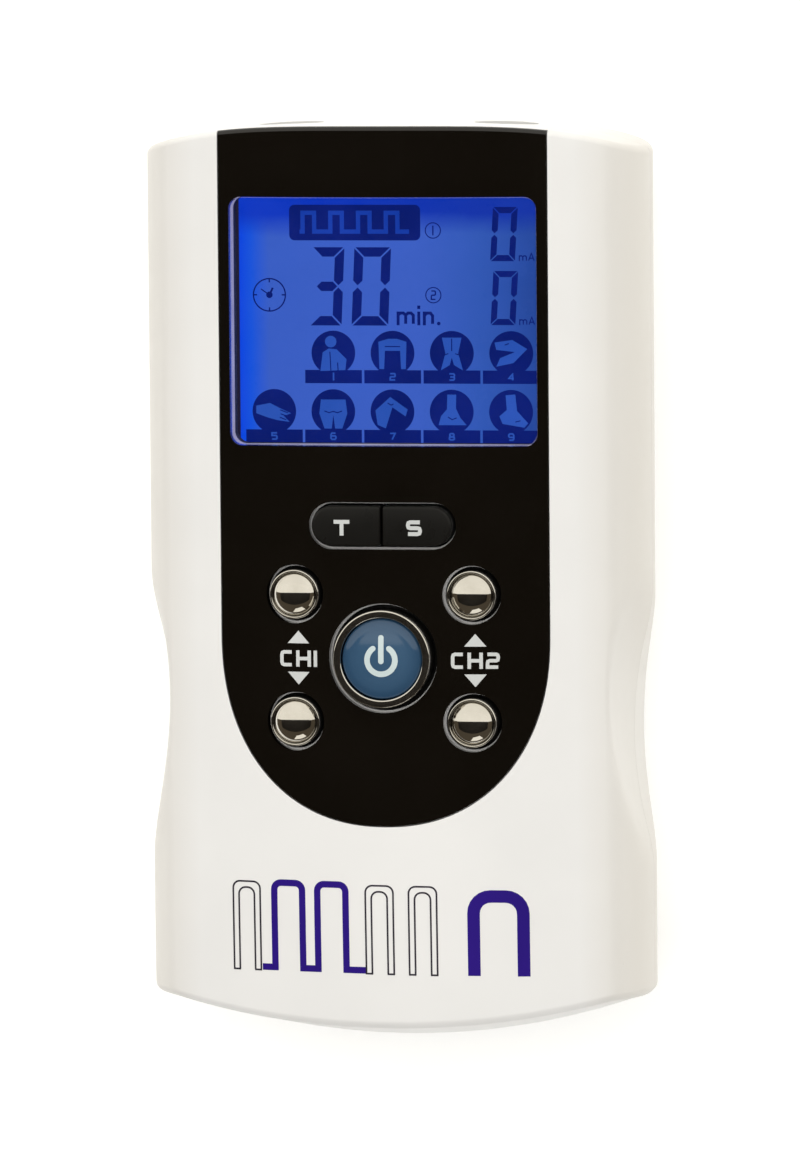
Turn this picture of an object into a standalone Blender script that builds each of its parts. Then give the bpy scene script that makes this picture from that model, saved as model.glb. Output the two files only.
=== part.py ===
"""A handheld two-channel nerve stimulator (TENS unit), built from its separate pieces.

Frame: +Z points out of the display, +Y to the lead-socket end, +X to the user's right.
The unit lies on its belt clip, and the origin is on the table under its middle.
Every size below is in millimetres; place() turns them into Blender's metres.
"""

import math

import bmesh
import bpy
from mathutils import Matrix, Vector

MM = 0.001

# ---------------------------------------------------------------- driving dimensions, mm
TOP_Y = 58.0  # middle of the top end
FOOT_Y = -59.8  # middle of the bottom end, at the parting line
WIDTH = 65.0
CASE_DEPTH = 25.0
BACK_Z = 7.5  # back face of the case, held off the table by the belt clip
HALF_W = WIDTH / 2
APEX_Z = BACK_Z + CASE_DEPTH
PART_Z = BACK_Z + 10.0  # the line where the two shells meet
SEAM = 0.1  # gap between the shells along it

CROWN_R = 110.0  # radius of the front face across the case
CROWN_X = 28.0  # where the crowned front turns into the shoulder
TOP_DROP = 3.3  # how far the top end's corners fall behind its middle
BOTTOM_DROP = 6.0
BOTTOM_LEAN = 2.6  # how far the bottom end leans in, from the parting line to the front face
NOSE_DROP = 1.5  # how far the front face falls towards the bottom end
NOSE_START = -20.0
END_ROUND = 0.8  # rounding of the edges round both ends
SCOOP_Y = -19.9  # middle of the finger scoops in both sides, at the parting line
SCOOP_TILT = 0.45  # how fast that middle climbs towards the top end, per mm of height
SCOOP_DEPTH = 2.45
SCOOP_R = 50.0
SCOOP_LEAN = 0.14
SCOOP_BLEND = 0.8

WALL = 2.0
FACE_WALL = 2.8  # front wall of the shell, with the panel's pocket in it
GAP = 0.15  # assembly gap between fixed pieces
REST_GAP = 0.1  # gap where one piece rests on another

PANEL_T = 1.2
PANEL_HALF_W = 21.15
PANEL_ROUND_Y = -6.95  # where the panel's straight sides end
PANEL_BOTTOM_Y = -31.2
PANEL_FULLNESS = 2.2  # 2 would make its rounded end an ellipse

WINDOW_Y = 33.15
WINDOW_W = 39.7
WINDOW_H = 31.7
WINDOW_R = 1.6

BUTTON_X = 11.45
BUTTON_UP_Y = -1.6
BUTTON_DOWN_Y = -17.9
BUTTON_RIM_R = 3.2
BUTTON_HOLE_R = 3.75
BUTTON_DOME_R = 2.45
BUTTON_RIM_H = 1.2
BUTTON_DOME_H = 1.1
POWER_Y = -9.7
POWER_R = 6.25
POWER_HOLE_R = 7.0
POWER_CAP_R = 5.15
KEY_Y = 7.2
KEY_SLOT_HALF = 9.5
KEY_SLOT_R = 3.0
KEY_MARGIN = 0.45
KEY_SPLIT = 0.25

BOARD_Z = 22.3
BOARD_T = 1.6
BOARD_TOP = BOARD_Z + BOARD_T
LCD_Z = 24.7
LCD_TOP = 25.6
KEYPAD_Z = BOARD_TOP + REST_GAP
KEYPAD_T = 1.0
FLANGE_T = 0.8

CELL_R = 5.2
CELL_L = 44.5
CELL_PITCH = 11.5
CELL_Z = 14.9
BAY_HALF_W = 23.2
BAY_BOTTOM_Y = -51.8
BAY_TOP_Y = -2.2
BAY_ROOF_Z = 20.5
BAY_WALL = 1.1
CONTACT_T = 0.4

DOOR_HALF_W = 24.2
DOOR_T = 1.8
DOOR_TOP_Y = -1.2
TONGUE = 0.8

SOCKET_X = 14.0
SOCKET_Z = PART_Z
SOCKET_BORE_R = 3.2
DC_Y = 30.0
DC_Z = PART_Z
DC_BORE_R = 3.1

BOSS_X = 27.2
BOSS_Y = 49.0
BOSS_R = 2.7

CLIP_HALF_W = 12.0
CLIP_T = 2.0
CLIP_PIVOT_Y = 26.0
CLIP_PIVOT_Z = 4.6
CLIP_TIP_Y = -26.0
CLIP_THUMB_Y = 37.0
PIN_R = 0.95
BRACKET_T = 0.65
BRACKET_SCREW_X = 14.3
BRACKET_SCREW_R = 0.8

# ---------------------------------------------------------------- materials
FINISHES = {  # base colour, roughness, metallic
    "white_plastic": ((0.86, 0.85, 0.80), 0.35, 0.0),
    "black_gloss": ((0.008, 0.007, 0.006), 0.08, 0.0),
    "clear_window": ((0.75, 0.8, 0.9), 0.05, 0.0),
    "dark_key": ((0.02, 0.02, 0.019), 0.4, 0.0),
    "chrome": ((0.75, 0.73, 0.68), 0.08, 1.0),
    "blue_cap": ((0.05, 0.13, 0.24), 0.2, 0.0),
    "lcd_blue": ((0.05, 0.10, 0.75), 0.3, 0.0),
    "lcd_white": ((0.8, 0.8, 0.82), 0.4, 0.0),
    "silicone": ((0.32, 0.33, 0.35), 0.7, 0.0),
    "rubber": ((0.05, 0.05, 0.05), 0.8, 0.0),
    "board": ((0.03, 0.22, 0.09), 0.45, 0.0),
    "chip": ((0.03, 0.03, 0.03), 0.5, 0.0),
    "ferrite": ((0.09, 0.09, 0.10), 0.6, 0.0),
    "socket_black": ((0.03, 0.03, 0.03), 0.4, 0.0),
    "cell_jacket": ((0.10, 0.22, 0.30), 0.35, 0.6),
    "steel": ((0.60, 0.60, 0.60), 0.3, 1.0),
    "brass": ((0.80, 0.60, 0.25), 0.3, 1.0),
}


def material(name):
    found = bpy.data.materials.get(name)
    if found:
        return found
    colour, roughness, metallic = FINISHES[name]
    made = bpy.data.materials.new(name)
    made.use_nodes = True
    shader = made.node_tree.nodes["Principled BSDF"]
    shader.inputs["Base Color"].default_value = (*colour, 1.0)
    shader.inputs["Roughness"].default_value = roughness
    shader.inputs["Metallic"].default_value = metallic
    return made


# ---------------------------------------------------------------- mesh helpers


def place(name, built, finish=None, smooth_deg=35):
    """Turns a bmesh in millimetres into a named object in metres."""
    bmesh.ops.remove_doubles(built, verts=built.verts, dist=1e-4)
    bmesh.ops.recalc_face_normals(built, faces=built.faces)
    built.transform(Matrix.Scale(MM, 4))
    mesh = bpy.data.meshes.new(name)
    built.to_mesh(mesh)
    built.free()
    mesh.shade_smooth()
    mesh.set_sharp_from_angle(angle=math.radians(smooth_deg))
    obj = bpy.data.objects.new(name, mesh)
    bpy.context.scene.collection.objects.link(obj)
    if finish:
        mesh.materials.append(material(finish))
    return obj


def origin_at(obj, point):
    """Puts an object's origin on its joint's axis and leaves its shape where it is."""
    shift = Vector(point) * MM
    obj.data.transform(Matrix.Translation(-shift))
    obj.location = shift
    return obj


def helper(obj):
    """Marks an object that only cuts or joins another one."""
    obj.hide_render = True
    obj.display_type = "WIRE"
    return obj


def combine(obj, tool, operation):
    step = obj.modifiers.new(f"{operation.lower()}_{tool.name}", "BOOLEAN")
    step.operation = operation
    step.solver = "EXACT"
    step.object = helper(tool)
    return obj


def cut(obj, *tools):
    for tool in tools:
        combine(obj, tool, "DIFFERENCE")
    return obj


def join(obj, *tools):
    for tool in tools:
        combine(obj, tool, "UNION")
    return obj


def between_grids(name, upper, lower, finish=None):
    """A closed solid between two grids of points with the same rows and columns."""
    built = bmesh.new()
    rows, columns = len(upper), len(upper[0])
    tops = [[built.verts.new(p) for p in row] for row in upper]
    unders = [[built.verts.new(p) for p in row] for row in lower]
    for i in range(rows - 1):
        for j in range(columns - 1):
            built.faces.new((tops[i][j], tops[i][j + 1], tops[i + 1][j + 1], tops[i + 1][j]))
            built.faces.new((unders[i][j], unders[i + 1][j], unders[i + 1][j + 1], unders[i][j + 1]))
    for i in range(rows - 1):
        for j in (0, columns - 1):
            built.faces.new((tops[i][j], tops[i + 1][j], unders[i + 1][j], unders[i][j]))
    for j in range(columns - 1):
        for i in (0, rows - 1):
            built.faces.new((tops[i][j], tops[i][j + 1], unders[i][j + 1], unders[i][j]))
    return place(name, built, finish)


def box(name, low, high, finish=None):
    built = bmesh.new()
    bmesh.ops.create_cube(built, size=1.0)
    size = [b - a for a, b in zip(low, high)]
    middle = [(a + b) / 2 for a, b in zip(low, high)]
    for v in built.verts:
        v.co = Vector([m + c * s for m, c, s in zip(middle, v.co, size)])
    return place(name, built, finish)


def prism(name, outline, start, end, finish=None, along="Z"):
    """Extrudes a flat outline. Along Z the outline is (x, y), and along X it is (y, z)."""
    built = bmesh.new()
    if along == "Z":
        corners = [(a, b, start) for a, b in outline]
        shift = Vector((0, 0, end - start))
    else:
        corners = [(start, a, b) for a, b in outline]
        shift = Vector((end - start, 0, 0))
    face = built.faces.new([built.verts.new(p) for p in corners])
    moved = bmesh.ops.extrude_face_region(built, geom=[face])["geom"]
    far_end = [item for item in moved if isinstance(item, bmesh.types.BMVert)]
    bmesh.ops.translate(built, verts=far_end, vec=shift)
    return place(name, built, finish)


def turned(name, profile, centre, finish=None, axis="Z", steps=24, ring=False):
    """Spins a profile of (radius, height) points round an axis through centre."""
    built = bmesh.new()
    rings = []
    for radius, height in profile:
        if radius == 0:
            rings.append([built.verts.new((0, 0, height))])
            continue
        angles = [2 * math.pi * k / steps for k in range(steps)]
        rings.append([built.verts.new((radius * math.cos(a), radius * math.sin(a), height)) for a in angles])
    pairs = list(zip(rings, rings[1:])) + ([(rings[-1], rings[0])] if ring else [])
    for low, high in pairs:
        for k in range(steps):
            after = (k + 1) % steps
            below = [low[k % len(low)], low[after % len(low)]]
            above = [high[after % len(high)], high[k % len(high)]]
            built.faces.new(list(dict.fromkeys(below + above)))
    obj = place(name, built, finish)
    obj.location = Vector(centre) * MM
    obj.rotation_euler = {"X": (0, math.pi / 2, 0), "Y": (-math.pi / 2, 0, 0), "Z": (0, 0, 0)}[axis]
    return obj


def rod(name, radius, start, end, centre, finish=None, axis="Z", steps=24):
    return turned(name, [(0, start), (radius, start), (radius, end), (0, end)], centre, finish, axis, steps)


def wire(name, points, thickness, finish, sides=2):
    """A round wire along a list of points."""
    curve = bpy.data.curves.new(name, "CURVE")
    curve.dimensions = "3D"
    spline = curve.splines.new("POLY")
    spline.points.add(len(points) - 1)
    for slot, p in zip(spline.points, points):
        slot.co = (*(c * MM for c in p), 1.0)
    curve.bevel_depth = thickness / 2 * MM
    curve.bevel_resolution = sides
    curve.use_fill_caps = True
    curve.materials.append(material(finish))
    obj = bpy.data.objects.new(name, curve)
    bpy.context.scene.collection.objects.link(obj)
    return obj


def rounded_rectangle(width, height, radius, centre=(0, 0), steps=4):
    corners = [(1, 1, 0), (-1, 1, 90), (-1, -1, 180), (1, -1, 270)]
    points = []
    for sx, sy, start in corners:
        for k in range(steps + 1):
            a = math.radians(start + 90 * k / steps)
            x = sx * (width / 2 - radius) + radius * math.cos(a)
            y = sy * (height / 2 - radius) + radius * math.sin(a)
            points.append((centre[0] + x, centre[1] + y))
    return points


def half_pill(side, inner, outer, radius, centre_y, steps=10):
    """Half of a long rounded slot: a straight edge at inner, a half circle out at outer."""
    points = [(side * inner, centre_y - radius), (side * (outer - radius), centre_y - radius)]
    for k in range(1, steps):
        a = math.radians(-90 + 180 * k / steps)
        points.append((side * (outer - radius + radius * math.cos(a)), centre_y + radius * math.sin(a)))
    points += [(side * (outer - radius), centre_y + radius), (side * inner, centre_y + radius)]
    return points if side > 0 else points[::-1]


def pill(half_length, radius, centre_y):
    right = half_pill(1, 0, half_length, radius, centre_y)[1:-1]
    return right + [(-x, y) for x, y in reversed(right)]


# ---------------------------------------------------------------- the case's shape


def bezier(points, count):
    """Points along a cubic Bezier, without its first one."""
    a, b, c, d = (Vector(p) for p in points)
    found = []
    for k in range(1, count + 1):
        t = k / count
        found.append(a * (1 - t) ** 3 + b * 3 * t * (1 - t) ** 2 + c * 3 * t * t * (1 - t) + d * t ** 3)
    return [(p.x, p.y) for p in found]


def smaller(a, b, blend):
    """The smaller of two values, with a soft change from one to the other."""
    near = max(blend - abs(a - b), 0) / blend
    return min(a, b) - near * near * blend / 4


def crown(x):
    return APEX_Z - x * x / (2 * CROWN_R)


def front_profile(across=6, shoulder=6):
    """Half of the front's cross-section, from the middle to the parting line."""
    points = [(CROWN_X * k / across, crown(CROWN_X * k / across)) for k in range(across + 1)]
    start = (CROWN_X, crown(CROWN_X))
    return points + bezier([start, (30.6, start[1] - 0.66), (HALF_W, 23.0), (HALF_W, PART_Z)], shoulder)


def back_profile(shoulder=5):
    flat = 26.5
    points = [(flat * k / 2, BACK_Z) for k in range(3)]
    rim = PART_Z - SEAM
    return points + bezier([(flat, BACK_Z), (31.5, BACK_Z), (HALF_W, 11.5), (HALF_W, rim)], shoulder)


def offset(profile, outward, thickness):
    """Moves a profile inwards along its normals. thickness(x) may differ across the case."""
    moved = []
    for k, (x, z) in enumerate(profile):
        before, after = profile[max(k - 1, 0)], profile[min(k + 1, len(profile) - 1)]
        run = Vector((after[0] - before[0], after[1] - before[1])).normalized()
        normal = Vector((-run.y, run.x)) * outward
        if k == 0:
            normal = Vector((0, outward))
        if k == len(profile) - 1:
            normal = Vector((1, 0))
        moved.append((x - normal.x * thickness(x), z - normal.y * thickness(x)))
    return moved


def top_end(x):
    return TOP_Y - TOP_DROP * (x / HALF_W) ** 4


def bottom_end(x, z=PART_Z):
    lean = BOTTOM_LEAN * (max(z - PART_Z, 0) / (APEX_Z - PART_Z)) ** 2
    return FOOT_Y + BOTTOM_DROP * (x / HALF_W) ** 2 + lean


def nose_drop(y):
    return NOSE_DROP * max(0.0, (NOSE_START - y) / (NOSE_START - FOOT_Y)) ** 2


def lowered(z, y):
    """Front heights sink towards the bottom end, and the parting line stays level."""
    if z <= PART_Z:
        return z
    return z - nose_drop(y) * (z - PART_Z) / (APEX_Z - PART_Z)


def front_z(x, y):
    return lowered(crown(x), y)


def scooped(x, y, z, inset=0.0):
    """Brings a side point in to the finger scoop."""
    lean = SCOOP_LEAN * max(z - PART_Z, 0)
    middle = SCOOP_Y + SCOOP_TILT * max(z - PART_Z, 0)
    limit = HALF_W - SCOOP_DEPTH - lean + (y - middle) ** 2 / (2 * SCOOP_R) - inset
    return smaller(x, limit, SCOOP_BLEND)


# Shares of the length with a cross-section at them, closest together along the finger scoops.
STATIONS = [0.08] + [0.16 + 0.045 * k for k in range(8)] + [0.57, 0.78]


def stations(end_inset, edge=END_ROUND):
    """(share of the length, shift along it, inset) for each cross-section."""
    if end_inset:
        ends = [(0, end_inset, 0.0)], [(1, -end_inset, 0.0)]
    else:
        angles = [math.radians(45 * k) for k in range(3)]
        turn = [(edge * (1 - math.cos(a)), edge * (1 - math.sin(a))) for a in angles]
        ends = [(0, dy, inset) for dy, inset in turn], [(1, -dy, inset) for dy, inset in reversed(turn)]
    return ends[0] + [(share, 0, 0.0) for share in STATIONS] + ends[1]


def case_grids(profile, outward, base_z, inset=0.0, end_inset=0.0):
    """The outer grid of half a case and the flat grid that closes it at base_z."""
    outer, base = [], []
    for share, shift, edge_inset in stations(end_inset):
        half = offset(profile, outward, lambda x: edge_inset) if edge_inset else profile
        full = [(-x, z) for x, z in reversed(half[1:])] + half
        row, base_row = [], []
        for (x, z) in full:
            y, y_base = (
                foot + (top_end(x) - foot) * share + shift
                for foot in (bottom_end(x, z), bottom_end(x, base_z))
            )
            side = 1 if x >= 0 else -1
            x_in = side * scooped(abs(x), y, z, inset) if x else 0.0
            row.append((x_in, y, lowered(z, y)))
            base_row.append((x_in, y_base, base_z))
        outer.append(row)
        base.append(base_row)
    return outer, base


def case_half(name, outward, finish):
    profile = front_profile() if outward > 0 else back_profile()
    outer, base = case_grids(profile, outward, profile[-1][1])
    return between_grids(name, outer, base, finish)


def case_hollow(name, outward, wall):
    """The space inside a shell, reaching past the parting line so that it cuts cleanly."""
    profile = offset(front_profile() if outward > 0 else back_profile(), outward, wall)
    past = PART_Z - outward * 1.0
    outer, base = case_grids(profile, outward, past, inset=WALL, end_inset=WALL)
    return between_grids(name, outer, base)


def panel_grids(grow, above, below, overhang):
    """Upper and lower grid of the panel's outline, which follows the crowned front."""
    columns, rows = 22, 5
    half = PANEL_HALF_W + grow
    upper, lower = [], []
    for i in range(rows + 1):
        upper_row, lower_row = [], []
        for j in range(columns + 1):
            x = half * math.sin(math.pi / 2 * (2 * j / columns - 1))
            round_off = max(1 - abs(x / half) ** PANEL_FULLNESS, 0) ** (1 / PANEL_FULLNESS)
            y0 = PANEL_ROUND_Y - (PANEL_ROUND_Y - PANEL_BOTTOM_Y + grow) * round_off
            y = y0 + (top_end(x) + overhang - y0) * i / rows
            upper_row.append((x, y, front_z(x, y) + above))
            lower_row.append((x, y, front_z(x, y) - below))
        upper.append(upper_row)
        lower.append(lower_row)
    return upper, lower


# ---------------------------------------------------------------- shells and panel
BUTTONS = {
    "ch1_up_button": (-BUTTON_X, BUTTON_UP_Y),
    "ch1_down_button": (-BUTTON_X, BUTTON_DOWN_Y),
    "ch2_up_button": (BUTTON_X, BUTTON_UP_Y),
    "ch2_down_button": (BUTTON_X, BUTTON_DOWN_Y),
}
CASE_SCREWS = {
    "case_screw_1": (-BOSS_X, BOSS_Y),
    "case_screw_2": (BOSS_X, BOSS_Y),
    "case_screw_3": (-BOSS_X, -BOSS_Y),
    "case_screw_4": (BOSS_X, -BOSS_Y),
}
BOARD_SCREWS = {"board_screw_1": (-23.6, 9.5), "board_screw_2": (23.6, 9.5)}
SCREW_R = 1.2
HEAD_SEAT_Z = 11.0
BOARD_SCREW_R = 0.95


def face_holes(prefix, clearance):
    """Cutters for every key's hole through the panel or the shell's face."""
    low, high = BOARD_TOP + 2, APEX_Z + 3
    made = [
        rod(f"{prefix}_{name}", BUTTON_HOLE_R + clearance, low, high, (x, y, 0))
        for name, (x, y) in BUTTONS.items()
    ]
    made.append(rod(f"{prefix}_power", POWER_HOLE_R + clearance, low, high, (0, POWER_Y, 0), steps=24))
    slot = pill(KEY_SLOT_HALF + clearance, KEY_SLOT_R + clearance, KEY_Y)
    made.append(prism(f"{prefix}_keys", slot, low, high))
    return made


def front_shell():
    shell = case_half("front_shell", 1, "white_plastic")
    blend = CROWN_X - 4
    hollow = case_hollow("front_hollow", 1, lambda x: FACE_WALL if x < blend else WALL)
    cut(shell, hollow)
    for k, (x, y) in enumerate(CASE_SCREWS.values()):
        join(shell, rod(f"front_boss_{k}", BOSS_R, PART_Z + 0.9, 27.0, (x, y, 0), steps=16))
    for k, (x, y) in enumerate(BOARD_SCREWS.values()):
        join(shell, rod(f"board_post_{k}", 2.2, BOARD_TOP + REST_GAP, 29.0, (x, y, 0), steps=16))
    cut(shell, between_grids("panel_pocket", *panel_grids(GAP, 3.0, PANEL_T + REST_GAP, 4.0)))
    light_way = rounded_rectangle(WINDOW_W, WINDOW_H, WINDOW_R, (0, WINDOW_Y))
    cut(shell, prism("window_shaft", light_way, 20, 36))
    cut(shell, *face_holes("shell_hole", -0.2))
    for k, (x, y) in enumerate(CASE_SCREWS.values()):
        cut(shell, rod(f"front_pilot_{k}", SCREW_R + 0.1, PART_Z, 25.6, (x, y, 0), steps=16))
    for k, (x, y) in enumerate(BOARD_SCREWS.values()):
        cut(shell, rod(f"post_pilot_{k}", BOARD_SCREW_R + 0.1, 20, 28.2, (x, y, 0), steps=12))
    return cut(shell, *end_ports("front"))


def end_ports(prefix):
    """Cutters for the lead sockets in the top end and the adaptor jack in the left side."""
    made = [
        rod(f"{prefix}_port_{k}", 4.15, TOP_Y - 6, TOP_Y + 2, (x, 0, SOCKET_Z), axis="Y")
        for k, x in enumerate((-SOCKET_X, SOCKET_X))
    ]
    made.append(rod(f"{prefix}_dc_port", 3.95, -HALF_W - 2, -HALF_W + 6, (0, DC_Y, DC_Z), axis="X"))
    return made


def rear_shell():
    shell = case_half("rear_shell", -1, "white_plastic")
    cut(shell, case_hollow("rear_hollow", -1, lambda x: WALL))
    bay_low = (-BAY_HALF_W - BAY_WALL, BAY_BOTTOM_Y - BAY_WALL, BACK_Z + 0.5)
    bay_high = (BAY_HALF_W + BAY_WALL, BAY_TOP_Y + BAY_WALL, BAY_ROOF_Z + BAY_WALL)
    join(shell, box("bay_block", bay_low, bay_high))
    for k, (x, y) in enumerate(CASE_SCREWS.values()):
        join(shell, rod(f"rear_boss_{k}", BOSS_R, BACK_Z + 1.2, PART_Z + 0.6, (x, y, 0), steps=16))
    for side in (-1, 1):
        spot = (side * BRACKET_SCREW_X, CLIP_PIVOT_Y, 0)
        join(shell, rod(f"bracket_boss_{side + 1}", 2.2, BACK_Z + 1.2, 12.8, spot, steps=16))
    cut(shell, box("bay_space", (-BAY_HALF_W, BAY_BOTTOM_Y, 0), (BAY_HALF_W, BAY_TOP_Y, BAY_ROOF_Z)))
    door_gap = 0.2
    cut(
        shell,
        box(
            "door_slot",
            (-DOOR_HALF_W - door_gap, FOOT_Y - 3, 0),
            (DOOR_HALF_W + door_gap, DOOR_TOP_Y + door_gap, BACK_Z + DOOR_T + 0.15),
        ),
        box(
            "door_grooves",
            (-DOOR_HALF_W - TONGUE - door_gap, FOOT_Y - 3.5, BACK_Z + 0.65),
            (DOOR_HALF_W + TONGUE + door_gap, DOOR_TOP_Y + door_gap - 0.5, BACK_Z + DOOR_T),
        ),
    )
    through, end = SCREW_R + 0.2, PART_Z + 2
    well = [(0, 5), (2.35, 5), (2.35, HEAD_SEAT_Z), (through, HEAD_SEAT_Z), (through, end), (0, end)]
    for k, (x, y) in enumerate(CASE_SCREWS.values()):
        cut(shell, turned(f"screw_well_{k}", well, (x, y, 0), steps=16))
    for k, x in enumerate((-1.5 * CELL_PITCH, 1.5 * CELL_PITCH)):
        slot = (x - 1.6, BAY_TOP_Y - 0.8, BAY_ROOF_Z - 1), (x + 1.6, BAY_TOP_Y + 0.1, BAY_ROOF_Z + 3)
        cut(shell, box(f"tab_slot_{k}", *slot))
    for side in (-1, 1):
        spot = (side * BRACKET_SCREW_X, CLIP_PIVOT_Y, 0)
        cut(shell, rod(f"bracket_pilot_{side + 1}", BRACKET_SCREW_R + 0.1, 5, 12.3, spot, steps=12))
    return cut(shell, *end_ports("rear"))


def front_panel():
    panel = between_grids("front_panel", *panel_grids(0, 0, PANEL_T, 0), finish="black_gloss")
    cut(panel, *face_holes("panel_hole", 0.0))
    opening = rounded_rectangle(WINDOW_W, WINDOW_H, WINDOW_R, (0, WINDOW_Y))
    return cut(panel, prism("window_opening", opening, 20, 40))


def display_window():
    """A clear pane with the crowned panel's own curve, let into its opening."""
    window = between_grids("display_window", *panel_grids(0, 0, PANEL_T, 0), finish="clear_window")
    inside = rounded_rectangle(WINDOW_W - 2 * REST_GAP, WINDOW_H - 2 * REST_GAP, WINDOW_R, (0, WINDOW_Y))
    return combine(window, prism("window_outline", inside, 20, 40), "INTERSECT")


# ---------------------------------------------------------------- keys and keypad


def flange_top(x, y):
    """Underside of the shell's face at the outer side of a key, less its running gap."""
    outer = abs(x) + 3 if x else 6
    return front_z(outer, y) - FACE_WALL - 0.25


def channel_button(name, x, y):
    """A plated cap: a dome, a rolled rim round it, a stem and a retaining flange."""
    face = front_z(x, y)
    rim, flange = face + BUTTON_RIM_H, flange_top(x, y)
    dome = [
        (BUTTON_DOME_R * math.cos(a), rim - 0.2 + BUTTON_DOME_H * math.sin(a))
        for a in (math.radians(20 * k) for k in range(5))
    ]
    edge = [
        (BUTTON_RIM_R - 0.3 + 0.3 * math.cos(a), rim - 0.3 + 0.3 * math.sin(a))
        for a in (math.radians(45 * k) for k in range(3))
    ]
    lip_r = BUTTON_HOLE_R + 0.25
    foot = flange - FLANGE_T
    profile = [(0, foot), (lip_r, foot), (lip_r, flange), (BUTTON_RIM_R, flange)]
    profile += edge + [(BUTTON_RIM_R - 0.45, rim - 0.25)] + dome + [(0, rim - 0.2 + BUTTON_DOME_H)]
    return turned(name, profile, (x, y, 0), "chrome", steps=16)


def power_ring():
    face, flange = front_z(0, POWER_Y), flange_top(0, POWER_Y)
    rim = face + BUTTON_RIM_H
    inner = POWER_CAP_R + 0.1
    middle, half = (POWER_R + inner) / 2, (POWER_R - inner) / 2
    arc = [
        (middle + half * math.cos(a), rim - half + half * math.sin(a))
        for a in (math.radians(36 * k) for k in range(6))
    ]
    lip_r = POWER_HOLE_R + 0.3
    foot = flange - FLANGE_T
    profile = [(inner - 1.4, foot), (lip_r, foot), (lip_r, flange), (POWER_R, flange)]
    profile += arc + [(inner, flange + 0.4), (inner - 1.4, flange + 0.4)]
    return turned("power_ring", profile, (0, POWER_Y, 0), "chrome", steps=24, ring=True)


def power_cap():
    face, flange = front_z(0, POWER_Y), flange_top(0, POWER_Y)
    rim = face + BUTTON_RIM_H
    stem = POWER_CAP_R - 1.6
    foot, shoulder = flange - FLANGE_T, flange + 0.5
    profile = [(0, foot), (stem, foot), (stem, shoulder), (POWER_CAP_R, shoulder)]
    profile += [(POWER_CAP_R, rim - 0.8), (POWER_CAP_R - 0.25, rim - 0.4), (POWER_CAP_R - 0.9, rim - 0.15)]
    profile += [(POWER_CAP_R * 0.55, rim + 0.05), (0, rim + 0.15)]
    return turned("power_cap", profile, (0, POWER_Y, 0), "blue_cap", steps=24)


def half_key(name, side):
    """One half of the split pill-shaped key, with the flange that holds it in."""
    face, flange = front_z(4, KEY_Y), flange_top(0, KEY_Y) - 0.15
    outline = half_pill(side, KEY_SPLIT / 2, KEY_SLOT_HALF - KEY_MARGIN, KEY_SLOT_R - KEY_MARGIN, KEY_Y)
    key = prism(name, outline, flange - 0.3, face + 0.55, "dark_key")
    origin_at(key, (side * KEY_SLOT_HALF / 2, KEY_Y, face))
    bevel = key.modifiers.new("edge", "BEVEL")
    bevel.width = 0.3 * MM
    bevel.segments = 2
    bevel.limit_method = "ANGLE"
    bevel.angle_limit = math.radians(60)
    lip = half_pill(side, KEY_SPLIT / 2, KEY_SLOT_HALF + 0.35, KEY_SLOT_R + 0.35, KEY_Y)
    return join(key, prism(f"{name}_flange", lip, flange - FLANGE_T, flange))


def keypad():
    """The silicone mat: one rubber dome under each key, open to the board below."""
    base_top = KEYPAD_Z + KEYPAD_T
    mat = prism("keypad", rounded_rectangle(36, 37, 2, (0, -5.5)), KEYPAD_Z, base_top, "silicone")
    seats = [(x, y, flange_top(x, y)) for x, y in BUTTONS.values()]
    seats += [(0, POWER_Y, flange_top(0, POWER_Y))]
    seats += [(side * 4.9, KEY_Y, flange_top(0, KEY_Y) - 0.15) for side in (-1, 1)]
    for k, (x, y, flange) in enumerate(seats):
        top = flange - FLANGE_T - REST_GAP
        cone = [(0, base_top - 0.5), (3.4, base_top - 0.5), (3.2, base_top + 0.4), (2.0, top), (0, top)]
        join(mat, turned(f"keypad_dome_{k}", cone, (x, y, 0), steps=12))
    for k, (x, y, flange) in enumerate(seats):
        under, roof = KEYPAD_Z - 1, base_top + 0.5
        space = [(0, under), (2.7, under), (2.7, base_top - 0.1), (1.3, roof), (0, roof)]
        cut(mat, turned(f"keypad_space_{k}", space, (x, y, 0), steps=10))
    return mat


# ---------------------------------------------------------------- display and board


def display_stack():
    """White light guide, glass and holder under the window, with the strip that connects them."""
    base = BOARD_TOP + REST_GAP
    outer = rounded_rectangle(46.6, 38.6, 1.0, (0, WINDOW_Y))
    holder = prism("lcd_holder", outer, base, LCD_TOP, "lcd_white")
    cut(holder, prism("holder_space", rounded_rectangle(43.4, 35.4, 0.5, (0, WINDOW_Y)), 20, 40))
    low_y, high_y = WINDOW_Y - 17.5, WINDOW_Y + 17.5
    box("lcd_glass", (-21.5, low_y, LCD_Z), (21.5, high_y, LCD_TOP - 0.1), "lcd_blue")
    box("backlight_guide", (-21.5, low_y + 3.2, base), (21.5, high_y, LCD_Z - REST_GAP), "lcd_white")
    box("lcd_connector_strip", (-20.0, low_y + 0.3, base), (20.0, low_y + 2.6, LCD_Z - REST_GAP), "rubber")


def board_outline():
    """The circuit board, narrower at the top between the case's screw bosses."""
    half, neck = 26.4, 23.9
    return [
        (half, -44), (half, 44.5), (neck, 44.5), (neck, 53.2),
        (-neck, 53.2), (-neck, 44.5), (-half, 44.5), (-half, -44),
    ]


def main_board():
    board = prism("main_board", board_outline(), BOARD_Z, BOARD_TOP, "board")
    for k, (x, y) in enumerate(BOARD_SCREWS.values()):
        cut(board, rod(f"board_hole_{k}", BOARD_SCREW_R + 0.15, 20, 26, (x, y, 0), steps=12))
    return board


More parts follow.
